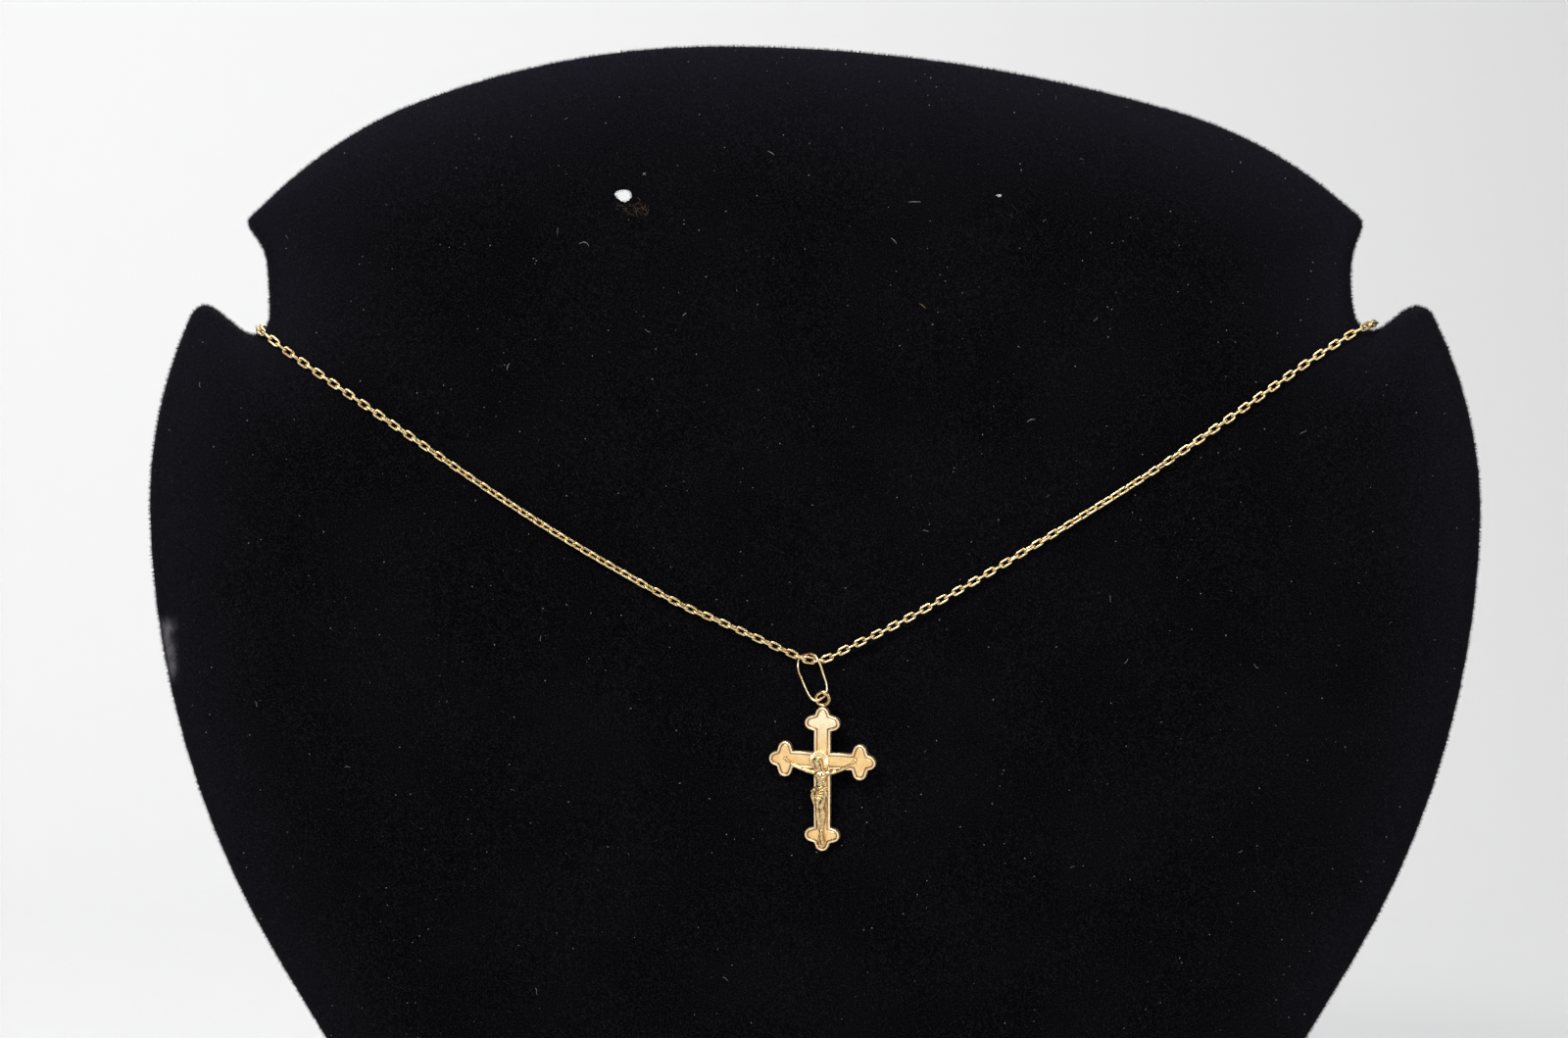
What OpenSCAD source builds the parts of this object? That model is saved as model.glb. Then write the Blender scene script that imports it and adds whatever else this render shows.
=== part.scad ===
// A gold crucifix pendant on a fine link chain, hung in the two side notches
// of a padded velvet neck display board that stands on a plain rear leg.
// Units are millimetres. The viewer is on the -Y side and +Z is up.

/* [Board] */
// Width of the board across its widest part
board_w = 205; // [190:1:220]
// Height of the board
board_h = 188; // [178:1:200]
// Thickness of the board
board_t = 8; // [6:0.5:11]
// Widest inset of the padded front edge
pad_w = 9; // [6:0.5:10]
// Depth of the padded front edge
pad_d = 3.5; // [2:0.25:4.5]
// Radius of the back edge
back_r = 0.8; // [0.5:0.1:1]
// Diameter of the two earring holes
hole_d = 2.4; // [1.6:0.1:4]
// Distance between the two earring holes
hole_pitch = 57.5; // [40:0.5:70]
// Height of the earring holes above the base
hole_z = 164.7; // [150:0.1:170]

/* [Rear leg] */
// How far the leg reaches behind the board
leg_reach = 58; // [45:1:80]
// Height of the leg's flange at its top
leg_top = 98; // [70:1:102]
// Length of the flange that lies against the board
flange_l = 34; // [20:1:45]
// Thickness of the leg and of its flange
leg_t = 3; // [2:0.5:5]
// Width of the leg at its foot
leg_foot_w = 60; // [45:1:80]
// Width of the leg at its top
leg_top_w = 32; // [20:1:44]
// Gap between the leg's flange and the board
leg_gap = 0.2; // [0.1:0.1:0.5]

/* [Chain and clasp] */
// Width across the chain's links
chain_d = 1.25; // [1.0:0.05:1.35]
// Mean radius of the clasp's ring
clasp_r = 2.6; // [2.2:0.1:3.2]
// Thickness of the clasp's ring
clasp_wire = 1.1; // [0.8:0.1:1.4]
// Mean radius of the loop at each side of the clasp
loop_r = 0.8; // [0.6:0.05:1.0]
// Wire of the loops
loop_wire = 0.5; // [0.4:0.05:0.6]

/* [Bail] */
// Width of the bail between its wires' middles
bail_w = 4.4; // [4.2:0.1:5]
// Height of the bail between its wires' middles
bail_h = 7; // [6.8:0.1:8]
// Depth over which the bail is bent
bail_d = 3.7; // [3.5:0.1:4.2]
// Wire of the bail
wire_d = 0.34; // [0.26:0.02:0.38]

/* [Cross] */
// Width of the arms
arm_w = 2.5; // [2.2:0.05:2.8]
// Length of the upper arm from the crossing's middle to its tip
top_l = 8.3; // [7.4:0.1:9.2]
// Length of each side arm
side_l = 8.35; // [7.4:0.1:8.6]
// Length of the lower arm
low_l = 14.05; // [13.6:0.05:15.5]
// Thickness of the plate, rim included
cross_t = 1.0; // [0.8:0.05:1.2]
// Radius of each trefoil's lobes
lobe_r = 1.08; // [0.95:0.01:1.2]
// Distance from a trefoil's middle to a side lobe's middle
lobe_out = 1.5; // [1.35:0.05:1.7]
// Distance from a trefoil's middle to its tip
tip_l = 2.5; // [2.3:0.05:2.8]
// Width of the raised rim
rim_w = 0.5; // [0.4:0.02:0.6]
// Height of the rim above the sunk panel
rim_h = 0.22; // [0.1:0.02:0.35]
// Mean radius of the ring on top of the cross
ring_r = 1.0; // [0.96:0.02:1.1]
// Wire of the ring on top of the cross
ring_wire = 0.5; // [0.4:0.02:0.54]
// Radius of the halo
halo_r = 1.6; // [1.3:0.05:1.9]

/* [Figure] */
// Height of the figure from the top of its head to its toes
fig_h = 13.8; // [13:0.1:14.2]
// How far the figure stands out of the sunk panel
fig_out = 1.0; // [0.7:0.05:1.2]

/* [How the pendant hangs] */
// How far the right side of the cross is turned to the front
yaw = 14; // [10:0.5:16]
// How far the top of the cross leans to the front
pitch = 8; // [7:0.5:11]
// How far the cross is turned clockwise
roll = 0.7; // [-2:0.1:3]

/* [Hidden] */

$fn = 48;
tube_sides = 8;
fig_sides = 12;
gold = "#d9ac58";
velvet = "#141317";

// Outline of the board, clockwise from its lower left corner.
// Columns: x as a share of half the width, z as a share of the height, bow of
// the stretch up to the next row as a share of its chord, inset of the padded
// edge as a share of pad_w, and the number of steps in the stretch.
EDGE = [
    [-0.527, 0.000,  0.000, 0.10, 8],
    [-0.806, 0.252,  0.066, 1.00, 10],
    [-1.000, 0.624,  0.056, 1.00, 6],
    [-0.936, 0.780,  0.330, 0.18, 5],
    [-0.900, 0.783,  0.000, 0.18, 2],
    [-0.856, 0.764, -0.300, 0.25, 6],
    [-0.819, 0.777, -0.020, 0.25, 3],
    [-0.824, 0.829, -0.050, 0.25, 3],
    [-0.849, 0.851,  0.250, 0.08, 4],
    [-0.841, 0.862,  0.050, 0.08, 8],
    [-0.625, 0.948,  0.051, 1.00, 10],
    [-0.120, 1.000,  0.034, 1.00, 12],
    [ 0.539, 0.947,  0.062, 1.00, 8],
    [ 0.808, 0.863,  0.250, 0.08, 4],
    [ 0.818, 0.848, -0.040, 0.08, 3],
    [ 0.804, 0.821, -0.035, 0.25, 3],
    [ 0.809, 0.780, -0.270, 0.25, 6],
    [ 0.852, 0.768,  0.000, 0.25, 2],
    [ 0.891, 0.785,  0.270, 0.18, 5],
    [ 0.929, 0.777,  0.058, 0.18, 6],
    [ 1.000, 0.622,  0.066, 1.00, 10],
    [ 0.809, 0.252,  0.000, 1.00, 8],
    [ 0.527, 0.000,  0.000, 0.10, 6]
];
PAD_STEPS = 5;

// Route of the chain's middle, from the clasp's left loop over the left notch,
// down and up the front, and over the right notch back to the clasp. Columns:
// x as a share of half the board's width, depth, z as a share of its height.
// Depth behind the front face is a share of the board's thickness, and depth in
// front of it, below zero, is a share of the chain's width.
ROUTE = [
    [-0.0449, 1.137, 0.6138], [-0.1756, 1.125, 0.6223], [-0.3317, 1.125, 0.6404],
    [-0.4878, 1.125, 0.6681], [-0.6341, 1.125, 0.7037], [-0.7512, 1.125, 0.7383],
    [-0.8049, 1.137, 0.7569], [-0.8263, 1.113, 0.7660], [-0.8351, 0.925, 0.7697],
    [-0.8361, 0.575, 0.7691], [-0.8341, 0.250, 0.7686], [-0.8273, 0.013, 0.7654],
    [-0.8117, -0.56, 0.7596], [-0.7941, -0.64, 0.7516], [-0.7288, -0.64, 0.7266],
    [-0.6146, -0.80, 0.6840], [-0.4741, -1.04, 0.6319], [-0.3571, -1.28, 0.5915],
    [-0.2146, -1.52, 0.5473], [-0.1405, -1.68, 0.5293], [-0.0663, -1.84, 0.5112],
    [-0.0312, -1.92, 0.5027], [-0.0166, -1.92, 0.4995], [-0.0039, -1.92, 0.4979],
    [0.0088, -1.92, 0.4984], [0.0244, -1.92, 0.5016], [0.0556, -1.84, 0.5101],
    [0.1288, -1.68, 0.5298], [0.2478, -1.52, 0.5660], [0.3883, -1.28, 0.6122],
    [0.5073, -1.04, 0.6532], [0.6185, -0.80, 0.6952], [0.7317, -0.64, 0.7394],
    [0.7883, -0.64, 0.7596], [0.8137, -0.56, 0.7676], [0.8293, 0.013, 0.7713],
    [0.8380, 0.250, 0.7729], [0.8400, 0.575, 0.7729], [0.8380, 0.900, 0.7723],
    [0.8273, 1.087, 0.7681], [0.8068, 1.137, 0.7601], [0.7512, 1.125, 0.7404],
    [0.6341, 1.125, 0.7043], [0.4878, 1.125, 0.6681], [0.3317, 1.125, 0.6404],
    [0.1756, 1.125, 0.6223], [0.0449, 1.137, 0.6138]
];

// The point of the chain that the bail hangs on, and the clasp's middle, in the
// same columns
HANG_SHARE = [-0.0049, -1.92, 0.4980];
CLASP_SHARE = [0, 1.15, 0.6133];

// Route of the bail's wire around the chain and through the ring, as shares of
// the bail's width, depth and height from the point that it hangs on
BAIL = [
    [-0.466, 0.284, 0.036], [-0.493, 0.270, -0.103], [-0.459, 0.135, -0.261],
    [-0.384, 0.000, -0.374], [-0.295, -0.189, -0.517],
    [-0.186, -0.405, -0.660], [-0.095, -0.568, -0.767],
    [-0.002, -0.662, -0.824], [0.114, -0.690, -0.858],
    [0.239, -0.635, -0.839], [0.355, -0.565, -0.795],
    [0.455, -0.500, -0.745], [0.497, -0.454, -0.678],
    [0.507, -0.405, -0.589], [0.477, -0.351, -0.460],
    [0.420, -0.324, -0.356], [0.364, -0.311, -0.246],
    [0.302, -0.300, -0.124], [0.245, -0.290, -0.034], [0.159, -0.243, 0.060],
    [0.059, -0.135, 0.125], [-0.064, 0.000, 0.150], [-0.186, 0.149, 0.135],
    [-0.341, 0.265, 0.105]
];
// Middle of the cross's ring, in the same shares
RING_AT = [0.361, -0.559, -0.815];

// Tables of the figure, from the crossing's middle. All columns are shares of
// the figure's height, apart from depth and bulge, which are shares of how far
// it stands out. Columns: z, x, half width, depth of the middle, bulge.
TORSO = [
    [-0.070, -0.040, 0.026, 0.35, 0.35],
    [-0.105, -0.036, 0.034, 0.30, 0.45],
    [-0.122, -0.026, 0.074, 0.25, 0.55],
    [-0.150, -0.012, 0.076, 0.20, 0.73],
    [-0.190, -0.004, 0.070, 0.12, 0.87],
    [-0.225, 0.000, 0.066, 0.08, 0.77],
    [-0.262, 0.000, 0.064, 0.05, 0.68],
    [-0.300, -0.006, 0.056, 0.25, 0.46],
    [-0.350, -0.008, 0.050, 0.25, 0.42]
];
LEG_RIGHT = [
    [-0.330, 0.020, 0.036, 0.25, 0.50],
    [-0.400, 0.018, 0.036, 0.30, 0.60],
    [-0.470, 0.006, 0.031, 0.35, 0.65],
    [-0.530, 0.006, 0.026, 0.30, 0.52],
    [-0.640, 0.004, 0.025, 0.25, 0.45],
    [-0.740, 0.002, 0.019, 0.25, 0.42],
    [-0.800, -0.002, 0.018, 0.30, 0.42],
    [-0.860, -0.006, 0.024, 0.35, 0.45],
    [-0.930, 0.000, 0.022, 0.20, 0.35]
];
LEG_LEFT = [
    [-0.330, -0.034, 0.036, 0.20, 0.45],
    [-0.400, -0.034, 0.034, 0.20, 0.50],
    [-0.470, -0.026, 0.029, 0.25, 0.52],
    [-0.530, -0.026, 0.025, 0.20, 0.45],
    [-0.640, -0.022, 0.023, 0.15, 0.42],
    [-0.740, -0.016, 0.018, 0.25, 0.42],
    [-0.800, -0.008, 0.018, 0.45, 0.42],
    [-0.860, 0.006, 0.023, 0.55, 0.42],
    [-0.945, 0.022, 0.020, 0.30, 0.30]
];
CLOTH = [
    [-0.270, -0.002, 0.068, 0.05, 0.74],
    [-0.300, -0.008, 0.074, 0.15, 0.74],
    [-0.345, -0.012, 0.078, 0.25, 0.66],
    [-0.390, -0.012, 0.074, 0.25, 0.72],
    [-0.440, -0.020, 0.062, 0.25, 0.70],
    [-0.470, -0.034, 0.042, 0.20, 0.50]
];
KNOT = [
    [-0.292, -0.074, 0.016, 0.22, 0.32],
    [-0.312, -0.088, 0.034, 0.22, 0.44],
    [-0.345, -0.096, 0.034, 0.20, 0.45],
    [-0.395, -0.088, 0.032, 0.15, 0.42],
    [-0.460, -0.074, 0.028, 0.12, 0.36],
    [-0.545, -0.062, 0.014, 0.10, 0.24]
];
HEAD = [
    [0.036, -0.045, 0.016, 0.30, 0.25],
    [0.020, -0.045, 0.034, 0.32, 0.55],
    [-0.005, -0.046, 0.041, 0.34, 0.68],
    [-0.040, -0.048, 0.040, 0.34, 0.70],
    [-0.068, -0.048, 0.030, 0.34, 0.62],
    [-0.092, -0.048, 0.014, 0.32, 0.42]
];
HAIR = [
    [0.044, -0.045, 0.020, 0.15, 0.40],
    [0.024, -0.045, 0.047, 0.15, 0.62],
    [-0.010, -0.046, 0.056, 0.10, 0.60],
    [-0.055, -0.046, 0.056, 0.08, 0.52],
    [-0.095, -0.044, 0.050, 0.08, 0.40],
    [-0.120, -0.042, 0.036, 0.08, 0.28]
];
// Columns: x, z, depth of the middle, radius
ARM_LEFT = [
    [-0.070, -0.128, 0.30, 0.030], [-0.130, -0.120, 0.32, 0.028],
    [-0.200, -0.102, 0.30, 0.025], [-0.285, -0.076, 0.28, 0.023],
    [-0.345, -0.046, 0.26, 0.019], [-0.385, -0.016, 0.26, 0.020],
    [-0.420, 0.014, 0.24, 0.017]
];
ARM_RIGHT = [
    [0.025, -0.134, 0.30, 0.030], [0.090, -0.126, 0.32, 0.028],
    [0.165, -0.106, 0.30, 0.025], [0.250, -0.072, 0.28, 0.023],
    [0.310, -0.036, 0.26, 0.019], [0.348, 0.000, 0.26, 0.020],
    [0.384, 0.036, 0.24, 0.017]
];

// Point in millimetres from the board's foot and front face
function on_board(p) =
    [p[0] * board_w / 2, p[1] * (p[1] < 0 ? chain_d : board_t), p[2] * board_h];

HANG = on_board(HANG_SHARE);
CLASP_AT = on_board(CLASP_SHARE);

// Front and back reach of the whole object from the velvet's face, which place
// the middle of its depth at the origin
ring_at = [
    HANG[0] + RING_AT[0] * bail_w,
    HANG[1] + RING_AT[1] * bail_d,
    HANG[2] + RING_AT[2] * bail_h
];
ring_z = top_l + ring_r + 0.25;
neck_r = 0.32;
front_reach = -ring_at[1] - ring_z * sin(pitch) * cos(pitch)
    + side_l * sin(yaw) * cos(pitch) + cross_t / 2 * cos(yaw);
back_reach = board_t + leg_gap + leg_reach;
face_y = (front_reach - back_reach) / 2;

// Point at share t of an arc from a to b with bow h as a share of its chord
function arc_point(a, b, h, t) =
    let (mid = (a + b) / 2, half = (b - a) / 2)
    let (out = [-half[1], half[0]] * 2 * h)
    abs(h) < 0.001
    ? a + (b - a) * t
    : let (r = (1 + 4 * h * h) / (4 * h), turn = asin(1 / r))
      let (s = r * sin(turn * (2 * t - 1)), c = r * cos(turn * (2 * t - 1)))
      mid + half * s + [-half[1], half[0]] * (c - r + 2 * h);

// Outline points with their inset: x, z, inset
function edge_points() = [
    for (i = [0 : len(EDGE) - 1])
        let (a = EDGE[i], b = EDGE[(i + 1) % len(EDGE)], n = a[4])
        for (k = [0 : n - 1])
            let (p = arc_point(
                [a[0] * board_w / 2, a[1] * board_h],
                [b[0] * board_w / 2, b[1] * board_h], a[2], k / n))
            [p[0], p[1], (a[3] + (b[3] - a[3]) * k / n) * pad_w]
];

// Inward direction of the outline at point i
function inward(pts, i) =
    let (n = len(pts), a = pts[(i + n - 1) % n], b = pts[(i + 1) % n])
    let (d = [b[0] - a[0], b[1] - a[1]])
    [d[1], -d[0]] / norm(d);

// One ring of the board at depth y, with its inset scaled by k or set to e
function edge_ring(pts, y, k, e) = [
    for (i = [0 : len(pts) - 1])
        let (v = inward(pts, i), s = k * pts[i][2] + e)
        [pts[i][0] + v[0] * s, y, max(0, pts[i][1] + v[1] * s)]
];

function flatten(lists) = [for (list = lists) for (item = list) item];

// Closed skin over rings of equal length
module skin(rings, loop = false) {
    n = len(rings[0]);
    m = len(rings);
    sides = [
        for (k = [0 : m - (loop ? 1 : 2)])
            for (i = [0 : n - 1])
                let (j = (i + 1) % n, q = (k + 1) % m)
                [k * n + i, q * n + i, q * n + j, k * n + j]
    ];
    ends = loop ? [] : [
        [for (i = [0 : n - 1]) i],
        [for (i = [n - 1 : -1 : 0]) (m - 1) * n + i]
    ];
    polyhedron(points = flatten(rings), faces = concat(sides, ends));
}

// Smooth curve through the points, with n steps between each pair
function spline(p, n, loop = false) =
    let (m = len(p), last = loop ? m - 1 : m - 2)
    concat([
        for (i = [0 : last])
            let (a = p[loop ? (i + m - 1) % m : max(i - 1, 0)], b = p[i])
            let (c = p[(i + 1) % m])
            let (d = p[loop ? (i + 2) % m : min(i + 2, m - 1)])
            for (k = [0 : n - 1])
                let (t = k / n)
                b + (c - a) * t / 2
                    + (2 * a - 5 * b + 4 * c - d) * t * t / 2
                    + (3 * b - a - 3 * c + d) * t * t * t / 2
    ], loop ? [] : [p[m - 1]]);

// Tube along the points; up is a direction that the tube never runs along
module tube(p, radii, up, loop = false) {
    m = len(p);
    skin([
        for (i = [0 : m - 1])
            let (a = p[loop ? (i + m - 1) % m : max(i - 1, 0)])
            let (b = p[loop ? (i + 1) % m : min(i + 1, m - 1)])
            let (t = (b - a) / norm(b - a), u = cross(t, up) / norm(cross(t, up)))
            let (v = cross(t, u))
            [for (s = [0 : tube_sides - 1])
                p[i] + radii[i] * (u * cos(360 * s / tube_sides)
                    + v * sin(360 * s / tube_sides))]
    ], loop);
}

// A tapering form of the figure, from one of its tables
module form(rows) {
    panel = cross_t - rim_h;
    skin([
        for (row = rows)
            [for (s = [0 : fig_sides - 1])
                let (a = 360 * s / fig_sides)
                [row[1] * fig_h + row[2] * fig_h * cos(a),
                    -panel - row[3] * fig_out - row[4] * fig_out * sin(a),
                    row[0] * fig_h]]
    ]);
}

module limb(rows) {
    panel = cross_t - rim_h;
    tube([for (r = rows) [r[0] * fig_h, -panel - r[2] * fig_out, r[1] * fig_h]],
        [for (r = rows) r[3] * fig_h], [0, 1, 0]);
}

// Outline of the cross, inset by e; its middle is the crossing's middle
module cross_outline(e) {
    square([2 * (side_l - tip_l), arm_w - 2 * e], center = true);
    translate([-arm_w / 2 + e, tip_l - low_l])
        square([arm_w - 2 * e, low_l + top_l - 2 * tip_l]);
    for (end = [[0, top_l], [90, side_l], [180, low_l], [270, side_l]])
        rotate(end[0])
            translate([0, end[1] - tip_l])
                trefoil(e);
}

module trefoil(e) {
    for (lobe = [[0, tip_l - lobe_r], [90, lobe_out], [-90, lobe_out]])
        rotate(lobe[0])
            hull() {
                translate([0, lobe[1]])
                    circle(r = lobe_r - e, $fn = 28);
                circle(r = arm_w / 2 + 0.15 - e, $fn = 28);
            }
}

module plate() {
    rotate([90, 0, 0])
        difference() {
            linear_extrude(cross_t) cross_outline(0);
            translate([0, 0, cross_t - rim_h])
                linear_extrude(rim_h + 1) cross_outline(rim_w);
        }
}

// Disc behind the head with raised rays
module halo() {
    rays = 22;
    panel = cross_t - rim_h;
    rim = [for (i = [0 : 2 * rays - 1])
        let (a = 180 * i / rays)
        [halo_r * cos(a), -panel - (i % 2 == 0 ? 0.42 : 0.26), -halo_r * sin(a)]];
    back = [for (i = [0 : 2 * rays - 1])
        let (a = 180 * i / rays)
        [halo_r * cos(a), -panel + 0.2, -halo_r * sin(a)]];
    hub = [for (i = [0 : 2 * rays - 1])
        let (a = 180 * i / rays)
        [0.4 * cos(a), -panel - 0.3, -0.4 * sin(a)]];
    translate([-0.03 * fig_h, 0, -0.002 * fig_h])
        skin([hub, rim, back]);
}

module ring() {
    translate([0, -cross_t / 2, ring_z])
        rotate([90, 0, 0])
            rotate_extrude($fn = 36) translate([ring_r, 0])
                circle(d = ring_wire, $fn = 12);
    translate([0, -cross_t / 2, top_l - neck_r])
        cylinder(r = neck_r, h = 0.25 + neck_r + ring_wire / 3, $fn = 16);
}

module figure() {
    for (rows = [TORSO, LEG_RIGHT, LEG_LEFT, CLOTH, KNOT, HEAD, HAIR])
        form(rows);
    limb(ARM_LEFT);
    limb(ARM_RIGHT);
}

module crucifix() {
    color(gold)
        translate([0, face_y, 0])
            translate(ring_at)
                rotate([pitch, 0, 0])
                    rotate([0, roll, 0])
                        rotate([0, 0, -yaw])
                            translate([0, cross_t / 2, -ring_z]) {
                                plate();
                                halo();
                                ring();
                                figure();
                            }
}

module bail() {
    wire = spline([for (b = BAIL)
        HANG + [b[0] * bail_w, b[1] * bail_d, b[2] * bail_h]], 2, true);
    color(gold)
        translate([0, face_y, 0])
            tube(wire, [for (p = wire) wire_d / 2], [0, 1, 0], true);
}

module chain() {
    color(gold)
        translate([0, face_y, 0])
            tube([for (p = ROUTE) on_board(p)], [for (p = ROUTE) chain_d / 2],
                [0, 0, 1]);
}

module clasp() {
    color(gold)
        translate([0, face_y, 0])
            translate(CLASP_AT) {
                rotate([90, 0, 0])
                    rotate_extrude() translate([clasp_r, 0])
                        circle(d = clasp_wire, $fn = 24);
                for (side = [-1, 1])
                    translate([side * (clasp_r + loop_r), 0, 0])
                        rotate([90, 0, 0])
                            rotate_extrude() translate([loop_r, 0])
                                circle(d = loop_wire, $fn = 16);
            }
}

module board() {
    pts = edge_points();
    rings = concat(
        [for (k = [0 : PAD_STEPS])
            let (a = 90 * k / PAD_STEPS)
            edge_ring(pts, pad_d * (1 - cos(a)), 1 - sin(a), 0)],
        [for (a = [0, 45, 90])
            edge_ring(pts, board_t - back_r * (1 - sin(a)), 0,
                back_r * (1 - cos(a)))]
    );
    color(velvet)
        translate([0, face_y, 0])
            difference() {
                resize([board_w, board_t, board_h])
                    skin(rings);
                for (side = [-1, 1])
                    translate([side * hole_pitch / 2, -1, hole_z])
                        rotate([-90, 0, 0])
                            cylinder(d = hole_d, h = board_t + 2);
            }
}

// Plain strut behind the board, with a flange that lies against its back
module leg() {
    near = board_t + leg_gap;
    far = near + leg_reach;
    color("#26242a")
        translate([0, face_y, 0])
            intersection() {
                rotate([90, 0, 90])
                    linear_extrude(2 * leg_foot_w, center = true)
                        polygon([
                            [near, leg_top], [near + leg_t, leg_top],
                            [far, 0], [far - leg_t * 1.3, 0],
                            [near + leg_t, leg_top - 2 * leg_t],
                            [near + leg_t, leg_top - flange_l],
                            [near, leg_top - flange_l]
                        ]);
                rotate([90, 0, 0])
                    linear_extrude(4 * leg_reach + 4 * board_w, center = true)
                        polygon([
                            [-leg_top_w / 2, leg_top + 1], [leg_top_w / 2, leg_top + 1],
                            [leg_foot_w / 2, -1], [-leg_foot_w / 2, -1]
                        ]);
            }
}

board();
leg();
chain();
clasp();
bail();
crucifix();
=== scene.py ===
"""Looks of the crucifix pendant necklace on its velvet neck display board."""

import math
from contextlib import contextmanager

import bmesh
import bpy
import numpy as np
from mathutils import Matrix, Vector
from mathutils.kdtree import KDTree


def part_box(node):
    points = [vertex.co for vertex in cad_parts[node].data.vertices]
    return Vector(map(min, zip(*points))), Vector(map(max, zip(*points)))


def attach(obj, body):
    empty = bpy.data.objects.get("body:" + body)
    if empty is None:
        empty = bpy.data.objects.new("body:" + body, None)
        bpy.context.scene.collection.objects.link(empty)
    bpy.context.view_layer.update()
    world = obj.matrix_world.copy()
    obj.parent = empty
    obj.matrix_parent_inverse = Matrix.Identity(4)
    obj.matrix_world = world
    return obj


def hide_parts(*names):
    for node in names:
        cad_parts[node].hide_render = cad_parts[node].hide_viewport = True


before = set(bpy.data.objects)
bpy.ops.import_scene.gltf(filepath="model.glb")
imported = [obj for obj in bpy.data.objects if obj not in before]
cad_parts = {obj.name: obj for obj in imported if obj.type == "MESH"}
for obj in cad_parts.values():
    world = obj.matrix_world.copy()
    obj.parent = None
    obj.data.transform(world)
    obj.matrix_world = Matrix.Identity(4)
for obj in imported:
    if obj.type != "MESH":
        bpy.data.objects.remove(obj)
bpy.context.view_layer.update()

MM = 0.001
# The velvet's front face and the board's back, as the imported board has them
FACE_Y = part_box("board")[0].y / MM
BACK_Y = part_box("board")[1].y / MM
# The camera's place, and how far it stands from the velvet
EYE_X, EYE_Z, EYE_REACH = -4.8, 115.2, 600


# node tools
class Value:
    """One socket of a node. Arithmetic on it adds Math nodes to its tree."""

    def __init__(self, graph, socket):
        self.graph = graph
        self.socket = socket

    def __getitem__(self, name):
        """Another output of the same node."""
        return Value(self.graph, self.socket.node.outputs[name])

    def math(self, operation, *numbers):
        return self.graph.node("ShaderNodeMath", *numbers, operation=operation)

    def __add__(self, other):
        return self.math("ADD", self, other)

    def __sub__(self, other):
        return self.math("SUBTRACT", self, other)

    def __rsub__(self, other):
        return self.math("SUBTRACT", other, self)

    def __mul__(self, other):
        return self.math("MULTIPLY", self, other)

    def __mod__(self, other):
        return self.math("MODULO", self, other)

    def rise(self, low, high, to_low=0.0, to_high=1.0):
        """Smooth step from to_low to to_high as the value goes from low to high."""
        steps = (self, low, high, to_low, to_high)
        return self.graph.node("ShaderNodeMapRange", *steps, interpolation_type="SMOOTHSTEP")


class Graph:
    """Adds nodes to one tree."""

    def __init__(self, tree):
        self.tree = tree
        tree.nodes.clear()

    def node(self, kind, *first, at=None, out=0, **named):
        """New node, as one of its outputs. Names in lower case are its settings.
        Capitalised ones are its inputs, and so are its first values and those at
        a number."""
        made = self.tree.nodes.new(kind)
        inputs = {**dict(enumerate(first)), **(at or {})}
        for name, value in named.items():
            if name[0].islower():
                setattr(made, name, value)
            else:
                inputs[name.replace("_", " ")] = value
        for name, value in inputs.items():
            if isinstance(value, Value):
                self.tree.links.new(value.socket, made.inputs[name])
            else:
                made.inputs[name].default_value = value
        return Value(self, made.outputs[out]) if made.outputs else made

    def mix(self, first, second, share):
        """Colour between two colours."""
        sockets = {0: share, 6: first, 7: second}
        return self.node("ShaderNodeMix", at=sockets, out=2, data_type="RGBA")

    def random(self, low, high, seed):
        """A number between low and high for each copy."""
        sockets = {2: low, 3: high, "Seed": seed}
        return self.node("FunctionNodeRandomValue", at=sockets, out=1, data_type="FLOAT")

    def mark(self, name):
        """A number that the mesh's points carry, in a material."""
        return self.node("ShaderNodeAttribute", out="Fac", attribute_name=name)

    def millimetres(self):
        """Object coordinates in millimetres."""
        place = self.node("ShaderNodeTexCoord", out="Object")
        return self.node("ShaderNodeVectorMath", place, operation="SCALE", Scale=1 / MM)

    def noise(self, place, scale, detail=3.0, rough=0.55):
        """Noise from 0 to 1, with scale in features per millimetre."""
        return self.node(
            "ShaderNodeTexNoise", Vector=place, Scale=scale, Detail=detail, Roughness=rough
        )

    def bump(self, height, strength, distance):
        """Normal from a height, its distance in millimetres."""
        return self.node(
            "ShaderNodeBump", Height=height, Strength=strength, Distance=distance * MM
        )


def rgb(red, green, blue):
    """Linear colour of an 8-bit screen colour."""
    return tuple(
        ((c / 255 + 0.055) / 1.055) ** 2.4 if c > 10 else c / 255 / 12.92
        for c in (red, green, blue)
    ) + (1.0,)


class Finish(Graph):
    """A material's graph with its shader, which the constants go on."""

    def __init__(self, name, **constants):
        self.material = bpy.data.materials.new(name)
        self.material.use_nodes = True
        super().__init__(self.material.node_tree)
        self.shader = self.node("ShaderNodeBsdfPrincipled", **constants)
        self.output = self.node("ShaderNodeOutputMaterial", Surface=self.shader)

    def done(self, **links):
        """The material, with changing values linked to the shader's sockets."""
        for name, value in links.items():
            socket = self.shader.socket.node.inputs[name.replace("_", " ")]
            self.tree.links.new(value.socket, socket)
        return self.material


# mesh tools
@contextmanager
def opened(mesh, into=None):
    """The mesh, open for changes, which go into it or into another mesh."""
    build = bmesh.new()
    build.from_mesh(mesh)
    yield build
    build.to_mesh(mesh if into is None else into)
    build.free()


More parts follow.
